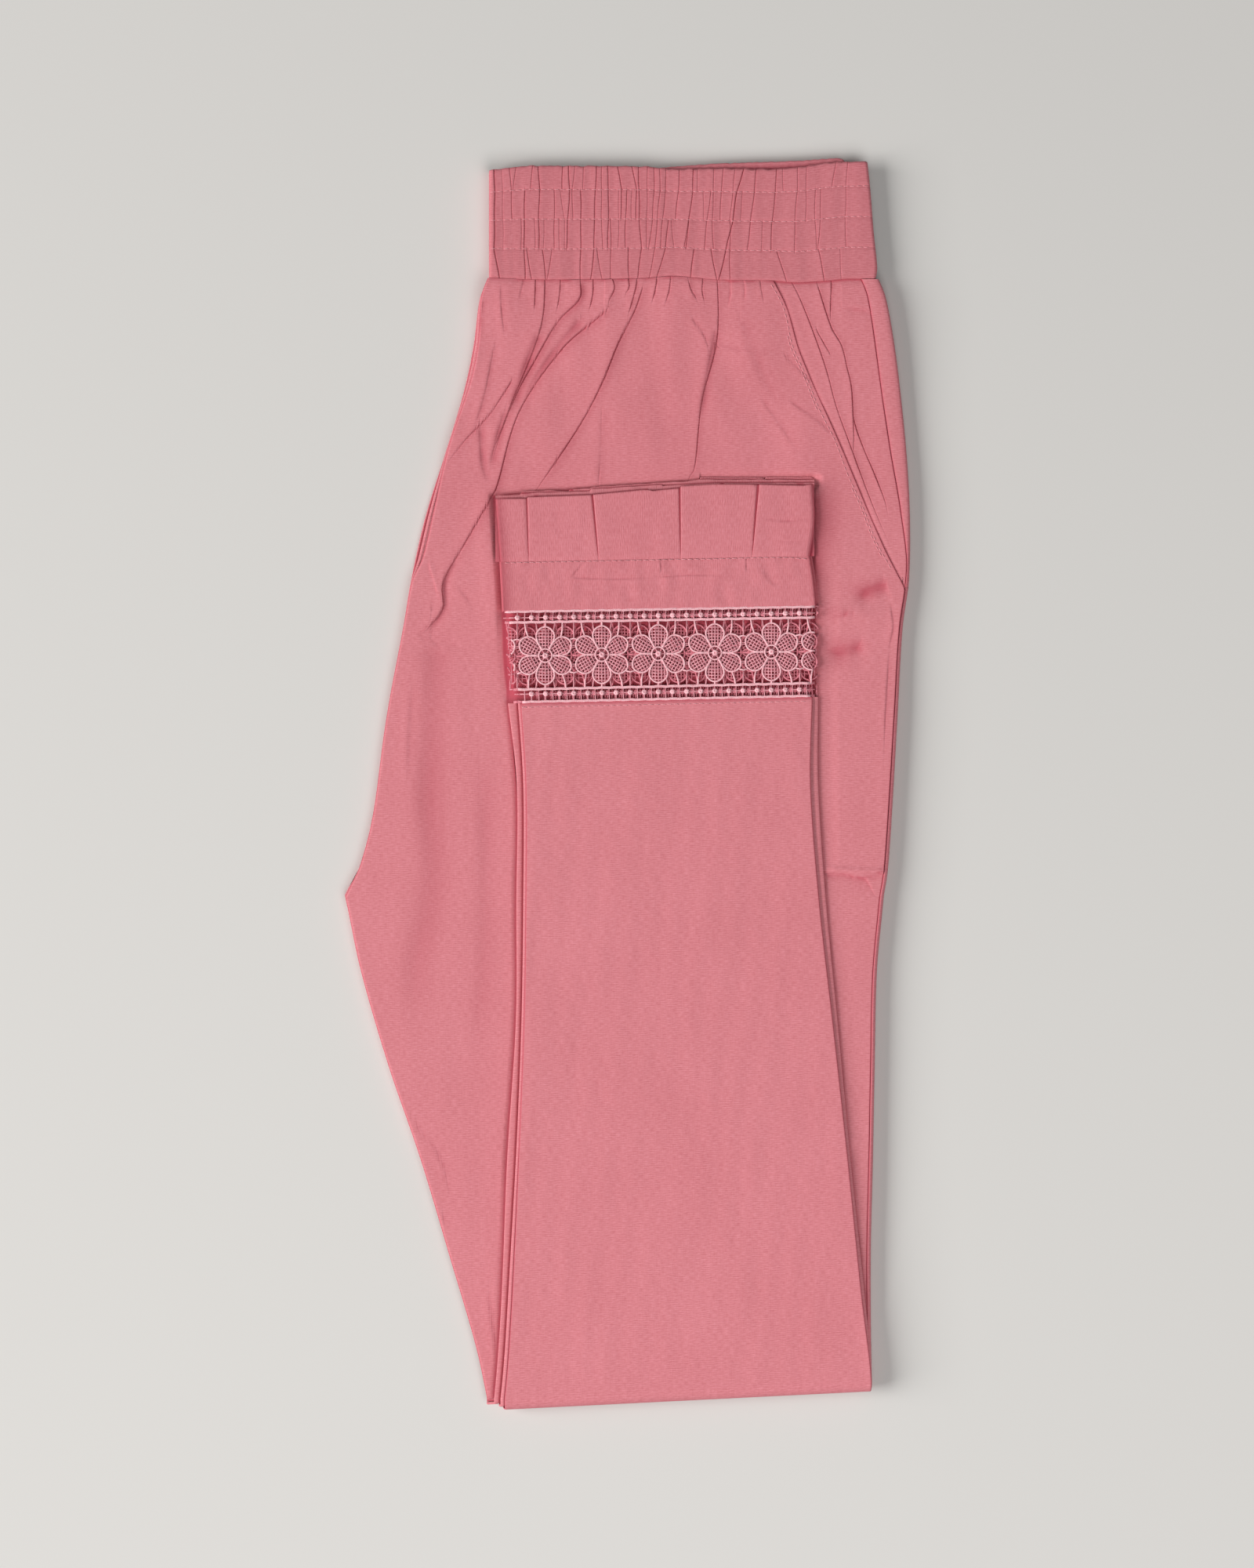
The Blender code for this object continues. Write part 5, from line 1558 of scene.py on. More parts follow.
@dataclass
class BackPanels:
    """Both backs, hidden between the fronts, whose edges show and wrap the side seams."""

    CUT = Cut("back_panels_sheet", "back_panels", (0.52, 0.84), Held.FOLDED, ("right_front_sheet",), 0.33)
    # Columns at the split between the layers: offset, drop and painted shade
    SPLIT_COLUMNS = ((1.4, 0.0, 0.0), (0.8, 0.3, 0.35), (0.3, 0.6, 0.75), (-0.3, 0.7, 0.9))

    cloth: Material
    top: TopFront
    floor: FloorFront
    round_steps: int = 7
    wrap_steps: int = 9
    rim: float = 1.15

    def corner(
        self, edge: Array, wrap: Array, rim: Array, face: Array, middle: Array, side: int
    ) -> tuple[Array, Array, Array]:
        """One layer's edge on each row, from its face to the split between the layers.

        Args:
            edge: Where the layer ends.
            wrap: How far the raised rim reaches in from there.
            rim: How far the rim stands over the face.
            face: Depth of the layer's face.
            middle: Depth of the split.
            side: 1 at +X and -1 at -X.

        Returns:
            Places across, depths, and painted shade at the edge, in rows and columns.
        """
        outward = np.sign(face - middle)
        top = face + outward * rim
        half = np.abs(top - middle) / 2
        centre = (top + middle) / 2
        reach = np.minimum(half, 1.1)
        raised = ease(rim / 0.6)
        across = [edge - side * (wrap + 0.25)]
        depth = [face]
        fold = [0.9 * raised]
        for share in np.linspace(0.0, 1.0, self.wrap_steps) ** 2:
            gap = share * (wrap - reach)
            across.append(edge - side * mix(wrap, reach, share))
            bulge = 0.12 * math.sin(math.pi * share)
            depth.append(top - outward * (np.minimum(0.3, 0.8 * rim) * np.exp(-gap / 0.3) - bulge))
            fold.append(0.85 * raised * np.exp(-gap / 0.35))
        for angle in np.linspace(0.0, math.pi, self.round_steps + 1)[1:]:
            across.append(edge - side * reach * (1 - math.sin(angle)))
            depth.append(centre + outward * half * math.cos(angle))
            fold.append(0.9 * ease((angle / math.pi - 0.55) / 0.45) + 0.0 * rim)
        return np.stack(across, axis=1), np.stack(depth, axis=1), np.stack(fold, axis=1)

    def between(
        self, first: Sequence[Array], second: Sequence[Array], middle: Array, side: int
    ) -> list[Sequence[Array]]:
        """Go round both layers' edges by way of the split between them.

        Args:
            first: The first layer's corner, from its face to the split.
            second: The other layer's corner.
            middle: Depth of the split.
            side: 1 at +X and -1 at -X.

        Returns:
            Runs of places, depths and painted shade, in order round the edges.
        """
        ends = [side * np.max(side * corner[0], axis=1) for corner in (first, second)]
        near = side * np.minimum(side * ends[0], side * ends[1])
        runs = []
        for (x, depth, fold), end in zip((first, second), ends):
            open_part = np.clip(side * (end - near) - 1.0, 0.0, 1.0)
            turned = np.linspace(0.0, 1.0, x.shape[1])[None, :] > 0.6
            fold = fold * np.where(turned, 1 - open_part[:, None], 1.0)
            dip = np.sign(depth[:, 0] - middle) * open_part
            columns = []
            for step, (offset, drop, inside) in enumerate(self.SPLIT_COLUMNS):
                place = side * np.minimum(side * x[:, -1] - 0.01 * (step + 1), side * near + offset)
                columns.append((place, middle + dip * drop, inside + 0.0 * place))
            parts = zip((x, depth, fold), zip(*columns))
            runs.append([np.hstack([part, np.stack(added, axis=1)]) for part, added in parts])
        split = [column[:, None] for column in (near - side * 1.2, middle, 0.0 * middle + 1.0)]
        return [runs[0], split, [part[:, ::-1] for part in runs[1]]]

    def make(self) -> None:
        """Build the two layers as one closed sleeve, which wraps the seams of both fronts."""
        rows = Rows.join(
            Rows.lower(falling(WAIST_Y - 0.1, 90.0, 1.6)),
            Rows.lower(falling(87.0, TURN_Y + 3.0, 3.2)),
            Rows.knee(10),
            Rows.upper(LACE_BOTTOM, 110),
        )
        upper = rows.upper_side
        zero = np.zeros_like(rows.y)
        start = 1 - ease(2 * rows.turn / math.pi)
        share = ease((SLOPE_START_Y - rows.y) / (SLOPE_START_Y - TURN_Y))
        left = rows.thigh("left")
        right = rows.thigh("right")
        peek = 0.4 * (self.top.left(rows) - left)
        under_left = rows.calf("under_left")
        under_right = rows.calf("under_right")
        front_seam = rows.meet(lambda y: thigh_edge(y, "right") - FRONT_INSETS("seam_side", y))
        inner = BACKS_INNER - np.where(upper, 0.0, hip_lift(rows.y) * (rows.turn == 0))
        outer = zero + BACKS_OUTER
        middle = (inner + outer) / 2
        lift = mix(0.45, 0.75, ease((rows.y - 62.0) / 12.0)) + seam_lift(right, rows.y)
        outer_right = np.where(upper, under_right, right)
        outer_rim = np.where(upper, 0.0, self.rim * start)
        inner_right = np.where(upper, under_right - 0.6, right)
        wrap = np.where(upper, 1.5, np.maximum(right - front_seam - 0.1, 1.5))
        face = BACKS_INNER - LEFT_FRONT_FACE
        inner_rim = np.where(upper, 0.0, (face + lift) * start)
        inner_left = np.where(upper, under_left + 1.2, left + peek)
        calf_wrap = mix(1.2, CALF_WRAP, ease((-150.0 - rows.y) / 90.0))
        outer_left = np.where(upper, self.floor.left(rows) - calf_wrap, mix(left, -58.9, share))
        left_rim = np.where(upper, self.rim * ease((rows.turn - 1.7) / 1.0), 0.0)
        corners = (
            self.corner(outer_right, zero + 1.9, outer_rim, outer, middle, 1),
            self.corner(inner_right, wrap, inner_rim, inner, middle, 1),
            self.corner(inner_left, zero + 1.5, zero, inner, middle, -1),
            self.corner(outer_left, np.maximum(calf_wrap, 1.3), left_rim, outer, middle, -1),
        )
        parts = [
            *self.between(corners[0], corners[1], middle, 1),
            *self.between(corners[2], corners[3], middle, -1),
        ]
        parts.append([part[:, :1] for part in parts[0]])
        x, d, fold = (np.hstack(columns) for columns in zip(*parts))
        ring = np.cumsum(np.hstack([zero[:, None], np.abs(np.diff(x)) + np.abs(np.diff(d))]), axis=1)
        self.CUT.lay(self.cloth, rows.at(x, d), rows.flat(ring), DOWN, fold)


# Waistband

BAND_TOP_Z = 9.2
BAND_WALL = 2.0
BAND_LEFT = -63.2
BAND_RIGHT = Table(
    "share right", (0.0, 114.1), (0.1, 114.8), (0.4, 113.2), (0.77, 111.6), (1.0, 110.3)
)
STITCH_ROWS = (0.27, 0.53, 0.79)
STITCH_PLACES = (-0.017, -0.008, 0.0, 0.008, 0.017)
LEVELS = (1.0, 0.79, 0.53, 0.27, 0.0)


class Groove:
    """A pressed gather of the waistband, which passes some of the levels from top to seam."""

    def __init__(self, depth: float, first: int, *places: float) -> None:
        """Keep the gather's line from the lowest level up.

        Args:
            depth: How strong the gather is.
            first: Number of the highest of LEVELS that it passes.
            places: Its place across at that level and the next ones below.
        """
        self.depth = depth
        self.levels = np.array(LEVELS[first:first + len(places)][::-1])
        self.line = np.array(places[::-1])

    def centre(self, share: Array) -> Array:
        """Place across of the gather at places up the band."""
        return np.interp(share, self.levels, self.line) + 0.12 * np.sin(share * 17.0 + self.line[0] * 3.1)

    def relief(self, x: Array, share: Array) -> Array:
        """Height that the gather adds at places across and up the band.

        Args:
            x: Places across.
            share: Places up the band, from 0 to 1.

        Returns:
            The heights.
        """
        low = self.levels[0] - 0.03
        high = self.levels[-1] + 0.03
        across = x - self.centre(share)
        fade = ease((share - low) / 0.05) * ease((high - share) / 0.05)
        groove = bell(across, 0.18)
        lap = 0.5 * (1 - np.tanh(across / 0.2)) * np.exp(-np.abs(across / 2.2) ** 1.5)
        rise = 0.5 * (1 + np.tanh(across / 0.2)) * bell(across - 1.2, 1.3)
        return self.depth * fade * (0.16 * lap + 0.08 * rise - 0.52 * groove)

    def fold(self, x: Array, share: Array) -> Array:
        """How much painted shade darkens each place in the gather, from 0 to 1.

        Args:
            x: Places across.
            share: Places up the band, from 0 to 1.

        Returns:
            The shade amounts.
        """
        across = x - self.centre(share)
        fade = ease((share - self.levels[0] + 0.03) / 0.04) * ease((self.levels[-1] + 0.03 - share) / 0.04)
        soft = 0.18 * (across > 0) * np.exp(-np.abs(across) / 0.8)
        return fade * self.depth * (0.72 * bell(across, 0.17) + soft)


GROOVES = tuple(
    Groove(*row)
    for row in (
        (1, 0, -60.8, -60.6, -60.6, -60.8, -58.5), (0.5, 0, -53.7, -53, -52.6), (0.4, 0, -50.6, -52.4),
        (0.8, 1, -46.8, -47, -47, -46.6), (0.4, 2, -48.4, -48.4), (0.6, 3, -46, -43.6),
        (0.5, 0, -43, -44.3), (0.8, 0, -40.6, -40, -40.4, -40.2), (0.35, 2, -42.2, -42),
        (0.7, 3, -38.8, -37), (0.5, 3, -34.2, -36.6), (0.5, 1, -33.2, -33.2, -33.4), (0.6, 0, -29.4, -29.8),
        (0.8, 0, -26.8, -26.2, -27, -27.6), (0.3, 1, -30.6, -28.6, -28.4), (0.4, 0, -23.8, -25, -24.8),
        (0.8, 1, -21.2, -21, -21.2, -21.4), (0.8, 0, -13.9, -14.4, -14.9, -15, -16.5),
        (0.4, 0, -11.5, -11.6, -11.6), (0.45, 3, -13.8, -11.4), (0.7, 0, -8.9, -8.4, -8.4, -8.8),
        (0.5, 2, -7.4, -7.2, -7.6), (0.7, 0, -4.4, -2.2, -2.8), (0.6, 1, 0.2, -0.6, -0.8),
        (0.7, 3, 0.6, 0.9), (0.7, 0, 2.4, 4.4, 4.2), (0.7, 0, 5.2, 5.7, 5.8, 6.6, 5),
        (0.5, 0, 12.6, 12.5, 11.8, 10.2), (0.5, 0, 15.2, 15.2, 14, 13, 10.2),
        (0.5, 0, 17.8, 17.9, 16.4, 15.4), (0.7, 2, 19, 17.8, 13.8), (0.6, 0, 24.2, 23.6, 22.2),
        (0.6, 2, 28.3, 26.4), (0.7, 0, 30.5, 30.2, 28.5, 27), (0.8, 3, 30.8, 29.2), (0.3, 0, 32.4, 32.2),
        (0.3, 1, 35, 35.3), (0.5, 1, 38.6, 36.8, 35.4), (0.5, 0, 44.4, 43.2, 42.8),
        (1, 0, 53.6, 50.4, 48.5, 45.4, 42.2), (0.7, 3, 38.6, 41.2), (0.5, 2, 47.6, 47.2, 47.2),
        (0.6, 0, 59.4, 58.4, 56.8, 55.2), (0.6, 0, 68.5, 68.2, 66.6, 66), (0.6, 3, 68.8, 73.2),
        (0.45, 0, 78.4, 78.1, 77, 77), (0.4, 1, 86.4, 86.2, 87.2), (0.4, 0, 96, 94),
        (0.4, 1, 88.8, 88.8, 87.5), (0.6, 3, 87.9, 90.7), (0.25, 0, -57.3, -57, -56.8, -56.6),
        (0.3, 2, -37.9, -38.2), (0.35, 2, -31.2, -30.8), (0.4, 0, -19.8, -20.4), (0.4, 2, -11.4, -11.2),
        (0.35, 1, -3.8, -3.6, -3.9), (0.3, 1, 2.3, 2), (0.4, 0, 9.5, 9.4, 9.2, 8.9), (0.3, 2, 20.4, 21.6),
        (0.4, 0, 39.8, 39.8, 39.2, 39.6), (0.4, 0, 49.7, 48.6, 47.2), (0.3, 1, 53.1, 52),
        (0.3, 2, 62.4, 61.6), (0.3, 0, 71.4, 71.8), (0.35, 0, 82.3, 82.3, 82),
        (0.35, 0, 101.2, 100.6, 100.2, 100.4), (0.3, 3, 97.6, 98.4),
    )
)


@dataclass
class Waistband:
    """The shirred elastic waistband, its front round the outside and its back within."""

    FRONT_CUT = Cut(
        "waistband_front_sheet", "waistband_front", (0.46, 0.051), Held.GATHERED,
        ("floor", "waistband_back_sheet"), 0.0205, Slot.BAND,
    )
    BACK_CUT = Cut(
        "waistband_back_sheet", "waistband_back", (0.172, 0.112), Held.GATHERED,
        ("waistband_front_sheet",), slot=Slot.BAND,
    )
    cloth: Material
    columns: int = 150
    rows: int = 64
    tall: float = 50.0

    def relief(self, x: Array, share: Array) -> Array:
        """Height of the gathered face above the wall of its solid.

        Args:
            x: Places across.
            share: Places up the band, from 0 to 1.

        Returns:
            The heights.
        """
        total = 0.45 + 0.13 * waves(x, share * self.tall, 10.0, 31, 5.0)
        total += 0.07 * waves(x, share * self.tall, 4.2, 32, 8.0) * mix(0.45, 1.0, ease((70.0 - x) / 50.0))
        for groove in GROOVES:
            total = total + groove.relief(x, share)
        for level in STITCH_ROWS:
            total -= 0.30 * np.exp(-(((share - level) * self.tall / 0.8) ** 2))
        return np.clip(total, -1.3, 1.5)

    def height(self, x: Array, share: Array) -> Array:
        """Height of the gathered face.

        Args:
            x: Places across.
            share: Places up the band, from 0 to 1.

        Returns:
            The heights.
        """
        drop = roll_off(share * self.tall, 1.2) + roll_off((1 - share) * self.tall, 1.3)
        left = roll_off(x - BAND_LEFT, 1.5)
        right = roll_off(BAND_RIGHT("right", share) - x, 1.4)
        return BAND_TOP_Z + self.relief(x, share) - drop - left - right

    def up(self, x: Array, share: Array) -> Array:
        """Height on the picture of a place across and up the band."""
        scallop = 0.25 * waves(x, np.zeros_like(x), 5.0, 37)
        return mix(waist_seam(x) - 0.1, WAIST_EDGES("front_top", x) + scallop * share, share)

    def make_front(self) -> None:
        """Build the front round the outside of the fold."""
        inner = np.linspace(0.045, 0.955, self.rows)
        share = np.concatenate([[0.0, 0.004, 0.012, 0.024], inner, [0.976, 0.988, 0.996, 1.0]])
        levels = np.sort(np.concatenate([share, *(np.array(STITCH_ROWS) + s for s in STITCH_PLACES)]))
        share = levels[:, None]
        right = BAND_RIGHT("right", share)
        places = [groove.centre(levels)[:, None] + CUT_PLACES[None, 2:-1] for groove in GROOVES]
        top_x = spread_columns(BAND_LEFT + 0.0 * levels, right[:, 0], self.columns, places)
        top_z = self.height(top_x, share + 0.0 * top_x)
        top_y = self.up(top_x, share + 0.0 * top_x)
        side = np.linspace(0.0, 1.0, 6)[None, 1:-1]
        side_x = BAND_LEFT - 0.25 * np.sin(math.pi * side) + 0.0 * share
        side_z = mix(1.0, top_z[:, :1], side)
        side_y = np.broadcast_to(top_y[:, :1], side_x.shape)
        floor_x = mix(BAND_LEFT + 1.0, right - 0.8, np.linspace(1.0, 0.0, 14)[None, :])
        floor_seam = mix(WAIST_Y, waist_seam(floor_x), 0.15)
        floor_y = mix(floor_seam, WAIST_EDGES("front_top", floor_x), share)
        lip_y = mix(WAIST_Y, WAIST_EDGES("front_top", right), share)
        turn_x = np.full_like(right, BAND_LEFT) + 0.25
        points = np.stack([
            np.hstack([right, floor_x, turn_x, side_x, top_x]),
            np.hstack([lip_y, floor_y, top_y[:, :1], side_y, top_y]),
            np.hstack([right * 0 + 0.5, 0.0 * floor_x, right * 0 + 0.35, side_z, top_z]),
        ], axis=-1)
        ring = girth(points)
        uv = np.stack([ring, np.broadcast_to(share * self.tall, ring.shape)], -1)
        # painted shade in the gathers and along the seam
        fold = np.zeros_like(ring)
        gathers = [groove.fold(top_x, share) for groove in GROOVES]
        seam = 0.4 * painted_edge_shade(share * self.tall + 0.0 * top_x)
        fold[:, -top_x.shape[1]:] = np.max(gathers + [seam], axis=0)
        self.FRONT_CUT.lay(self.cloth, points, uv, UP, fold)

    def make_back(self) -> None:
        """Build the two inner layers, whose top edges stand out above the front."""
        low = BAND_WALL + SEAM_GAP
        high = BAND_TOP_Z - BAND_WALL - SEAM_GAP
        middle = (low + high) / 2
        x = np.concatenate([[-60.9], np.linspace(-60.4, 100.0, 240), np.linspace(100.3, 109.4, 16)])
        x = x[:, None]
        top = WAIST_EDGES("back_top", x) + 0.18 * waves(x, 0.0 * x, 4.5, 41)
        seam = waist_seam(x) + 0.6
        gathers = 0.25 * waves(x, 0.0 * x, 3.6, 43)
        section = Section(x)
        # the last value of each column is painted shade in the gaps between the layers
        section.add(x, seam, low, 0.0)
        half = (middle - low) / 2
        for centre in (low + half, middle + half):
            section.add(x, top - 2.5, centre - half, 0.9)
            for angle in np.linspace(-math.pi / 2, math.pi / 2, 9):
                bulge = half * (1 - math.cos(angle))
                sag = gathers * math.cos(angle)
                z = centre + 0.93 * half * math.sin(angle) + sag * 0.3
                section.add(x, top - bulge * 0.9 - 0.1, z, 0.0)
        section.add(x, top - 4.0, high + gathers, 0.8)
        section.add(x, seam, high, 0.8)
        across, up, height, fold = section.columns()
        points = np.stack([across, up, height], axis=-1)
        self.BACK_CUT.lay(self.cloth, points, np.stack([across, girth(points)], -1), TO_WAIST, fold)

    def sew(self, stitches: Stitches) -> None:
        """Sew the rows that hold the elastic.

        Args:
            stitches: The stitches.
        """
        for level in STITCH_ROWS:
            x = np.linspace(BAND_LEFT + 0.6, BAND_RIGHT("right", np.array(level)) - 0.4, 180)
            line = np.stack([x, self.up(x, np.full_like(x, level))], axis=-1)

            stitches.row(line, lambda px, _, up=level: self.height(px, np.full_like(px, up)) + 0.05)


# Hems

PETAL_REACH = np.array([2.9, 4.5, 6.2, 7.8, 9.4, 11.0, 12.3, 13.0])
PETAL_HALF = np.array([1.5, 2.5, 3.45, 4.0, 4.15, 3.6, 2.4, 1.1])
PETAL_TIP = 13.2
WIDEST = 5
NET_STEP = 1.43


@dataclass
class Lace:
    """Guipure strip: six-petal flowers in a row between two ladders of cord."""

    name: str
    node: str
    left: Pair
    right: Pair
    shift: float
    z: float
    dense: bool
    pitch: float = 25.9
    flower_x: float = 14.4
    flower_y: float = 59.7
    hub: float = 3.1
    band_half: float = 15.2
    ladder: float = 4.6
    cell: float = 6.46

    def __post_init__(self) -> None:
        """Start the strip's heavy threads, fine threads and knots."""
        self.cords = ThreadWork(self.name + "_cords", 0.40)
        self.fine = ThreadWork(self.name + "_net", 0.26, 0)
        self.dots = ThreadWork(self.name + "_knots", 0.68)

    def middle_y(self, x: Array) -> Array:
        """Height of the flowers' line at places across."""
        return self.flower_y + LACE_TOP[1] * (x - self.flower_x)

    def ends(self, y: float) -> Pair:
        """Left and right end of the strip at a height."""
        share = (y - LACE_BOTTOM[0]) / (LACE_TOP[0] - LACE_BOTTOM[0])
        return mix(self.left[0], self.left[1], share), mix(self.right[0], self.right[1], share)

    def thread(self, work: ThreadWork, points: Points, lift: float = 0.0) -> None:
        """Lay a thread through flat points, as far as the strip reaches.

        Args:
            work: The threads that it belongs to.
            points: The points (x, y).
            lift: Its height above the strip's.
        """
        flat = np.array(points, dtype=float)
        low, high = self.ends(flat[:, 1].mean())
        keep = (flat[:, 0] > low) & (flat[:, 0] < high)
        ends = np.flatnonzero(np.diff(np.concatenate([[False], keep, [False]]).astype(int)))
        for start, stop in ends.reshape(-1, 2):
            if stop - start > 1:
                run = flat[start:stop]
                rise = 0.12 * np.sin(run[:, 0] * 1.7 + run[:, 1] * 2.3)
                work.runs.append(np.column_stack([run, self.z + lift + rise]))

    def circle(self, work: ThreadWork, centre: Array, radius: float, count: int, lift: float) -> None:
        """Lay a thread round a circle."""
        t = np.linspace(0.0, 2 * math.pi, count)
        self.thread(work, centre + radius * np.column_stack([np.cos(t), np.sin(t)]), lift)

    def petal(self, centre: Array, turn: float) -> None:
        """Make one petal: its outline of cord and the net inside it.

        Args:
            centre: The flower's centre.
            turn: The petal's direction.
        """
        along = np.array([math.cos(turn), math.sin(turn)])
        across = np.array([-along[1], along[0]])

        def at(reach: float, side: float) -> Array:
            """A place in the petal, by its distances along and across it."""
            return centre + reach * along + side * across

        half = [at(*place) for place in zip(PETAL_REACH, PETAL_HALF)]
        other = [at(*place) for place in zip(PETAL_REACH[::-1], -PETAL_HALF[::-1])]
        self.thread(self.cords, smooth_route(half + [at(PETAL_TIP, 0.0)] + other, 2), 0.2)
        count = 2 if self.dense else 1
        for side in np.arange(-count, count + 1) * NET_STEP * (1.0 if self.dense else 1.6):
            start = np.interp(abs(side), PETAL_HALF[:WIDEST], PETAL_REACH[:WIDEST])
            end = np.interp(-abs(side), -PETAL_HALF[WIDEST - 1:], PETAL_REACH[WIDEST - 1:])
            self.thread(self.fine, [at(start, side * 0.9), at((start + end) / 2, side), at(end, side)])
        for reach in np.arange(4.5, 12.0, NET_STEP * (1.0 if self.dense else 2.0)):
            width = np.interp(reach, PETAL_REACH, PETAL_HALF)
            self.thread(self.fine, [at(reach, -width), at(reach + 0.15, 0.0), at(reach, width)])

    def flower(self, centre: Array) -> None:
        """Make a flower of six petals round a ring with a knot in it.

        Args:
            centre: The flower's centre.
        """
        for angle in range(0, 360, 60):
            self.petal(centre, math.radians(30 + angle))
            spoke = np.array([math.cos(math.radians(angle)), math.sin(math.radians(angle))])
            self.thread(self.fine, [centre, centre + self.hub * spoke], 0.2)
        self.circle(self.cords, centre, self.hub, 19, 0.35)
        self.circle(self.dots, centre, 0.8, 9, 0.45)

    def links(self, centre: Array) -> None:
        """Make the bars from a flower to the ladders and to the next flower.

        Args:
            centre: The flower's centre.
        """
        half = self.pitch / 2
        for flip in (1, -1):
            for side in (1, -1):
                wide = side * flip < 0
                foot = centre + (side * (9.5 if wide else 7.8), flip * self.band_half)
                shoulder = centre + (side * (7.9 if wide else 7.1), flip * 8.6)
                self.thread(self.cords, [foot, (foot + shoulder) / 2 + (side * 0.3, 0.0), shoulder])
                brace = centre + (side * 3.4, flip * 9.6)
                self.thread(self.fine, [centre + (side * 4.4, flip * self.band_half), brace])
            self.thread(self.cords, [centre + (0.0, flip * 13.0), centre + (0.0, flip * self.band_half)])
            low, dip = flip * 7.2, centre + (half, flip * 7.9)
            self.thread(self.cords, [centre + (half - 2.6, low), dip, centre + (half + 2.6, low)])
            self.thread(self.fine, [dip, centre + (half, flip * self.band_half)])
            for bar in (flip * 3.9, flip * 4.7):
                self.thread(self.fine, [centre + (half - 1.7, bar), centre + (half + 1.7, bar)])

    def ladder_side(self, flip: int) -> None:
        """Make one ladder of cord with a dot in each cell.

        Args:
            flip: 1 for the ladder above the flowers and -1 for the one below.
        """
        x = np.arange(-62.0, 94.0, 2.0)
        edge = LACE_TOP if flip > 0 else LACE_BOTTOM
        inner = self.middle_y(x) + flip * self.band_half + 0.0055 * (x - self.flower_x) * (flip < 0)
        for rail in (inner, cross_line(edge, x) - flip * 0.3):
            line = np.column_stack([x, rail + 0.12 * np.sin(x * 0.97)])
            self.thread(self.cords, line, 0.2)
            self.thread(self.cords, line + (0.0, 0.42), 0.05)
        level = self.band_half + self.ladder / 2
        x = np.arange(-62.0, 94.0, 2.6)
        self.thread(self.fine, np.column_stack([x, self.middle_y(x) + flip * level]))
        for place in np.arange(-10, 11) * self.cell + self.flower_x + self.shift:
            base = self.middle_y(place)
            bar = place + self.cell / 2
            low = base + flip * self.band_half
            high = base + flip * (self.band_half + self.ladder + (0.9 if flip < 0 else 0.2))
            self.thread(self.fine, [(bar, low), (bar + 0.2, high)])
            self.thread(self.fine, [(place, low), (place, high)])
            self.circle(self.dots, np.array([place, base + flip * level]), 0.62, 9, 0.45)

    def make(self, thread: Material, net_thread: Material) -> None:
        """Build the strip's heavy, fine and knotted threads.

        Args:
            thread: The finish of cords and knots.
            net_thread: The finish of the net.
        """
        for number in range(-4, 5):
            x = self.flower_x + self.shift + number * self.pitch
            centre = np.array([x, self.middle_y(x)])
            low, high = self.ends(centre[1])
            if low - 16 < x < high + 16:
                self.flower(centre)
                self.links(centre)
        self.ladder_side(1)
        self.ladder_side(-1)
        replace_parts(self.cords.make(thread, Slot.LACE), self.node)
        self.fine.make(net_thread, Slot.LACE)
        self.dots.make(thread, Slot.LACE)


HEM_CREASES = creases_from(
    "lip valley cut width side",
    (0.22, 0.22, 0.25, 1.6, 1, (-24.5, 94.3), (-6, 93.8), (12.6, 94.5)),
    (0.22, 0.22, 0.25, 1.6, 1, (16.2, 94.8), (30, 95.6), (43.2, 95.4)),
    (0.2, 0.2, 0.25, 1.3, 1, (15.1, 103.7), (15.4, 99), (15.1, 95.6)),
    (0.2, 0.2, 0.25, 1.3, 1, (54.7, 103.7), (54.5, 100), (54.7, 96.6)),
    (0.22, 0.22, 0.25, 1.3, 1, (-20.2, 101.5), (-23, 98), (-26.4, 93.6)),
    (0.2, 0.22, 0, 4, 1, (18.2, 104), (17.8, 99), (18.2, 95)),
    (0.18, 0.2, 0.1, 2.2, 1, (62.4, 97.6), (65.6, 93), (70.6, 88.6)),
    (0.16, 0.18, 0, 3, 1, (-38, 100), (-36, 92), (-34, 85)),
)
FRILL_ENDS = Table(
    "share left right", (0.0, -58.0, 83.8), (0.5, -59.1, 86.0), (1.0, -60.2, 85.2)
)


@dataclass(frozen=True)
class Pleat:
    """A pleat of the top frill: its fold at the seam and the free edge, and how far it gapes."""

    seam: float
    free: float
    gape: float


PLEATS = (
    Pleat(-44.9, -45.7, 0.25),
    Pleat(-12.9, -15.5, 0.55),
    Pleat(24.7, 24.5, 0.55),
    Pleat(57.4, 60.6, 0.8),
)


def stepped(*rows: Pair) -> Edge:
    """An edge through points (x, y) with straight runs and steps between them."""
    line = np.array(rows)
    return lambda x: np.interp(x, line[:, 0], line[:, 1])


FRONT_EDGE = stepped(
    (-61.0, 130.6), (-45.9, 130.7), (-45.2, 131.4), (-16.0, 132.4), (-15.0, 132.6), (9.4, 134.9),
    (10.2, 134.1), (24.2, 135.5), (24.9, 136.4), (40.0, 137.3), (60.4, 137.2), (81.0, 136.7), (85.0, 137.4),
)
SECOND_EDGE = stepped(
    (-60.0, 132.2), (-49.0, 132.6), (-48.4, 133.2), (-43.4, 133.5), (-17.0, 134.2), (-16.4, 135.2),
    (9.0, 136.8), (16.0, 137.3), (16.5, 136.7), (40.0, 138.0), (86.0, 138.2),
)
THIRD_EDGE = stepped(
    (-60.0, 132.4), (-48.8, 133.0), (-48.2, 134.3), (-36.0, 134.8), (-26.8, 134.3), (-26.2, 135.3),
    (-17.0, 135.6), (-15.8, 136.2), (16.0, 138.4), (28.0, 138.8), (33.0, 139.8), (86.0, 139.6),
)
LOWEST_EDGE = stepped(
    (-60.0, 131.8), (-20.0, 134.2), (16.0, 137.2), (33.2, 138.6), (33.5, 140.9), (62.6, 140.8),
    (62.9, 140.2), (63.5, 140.2), (63.8, 141.0), (84.4, 141.0), (86.9, 139.6),
)
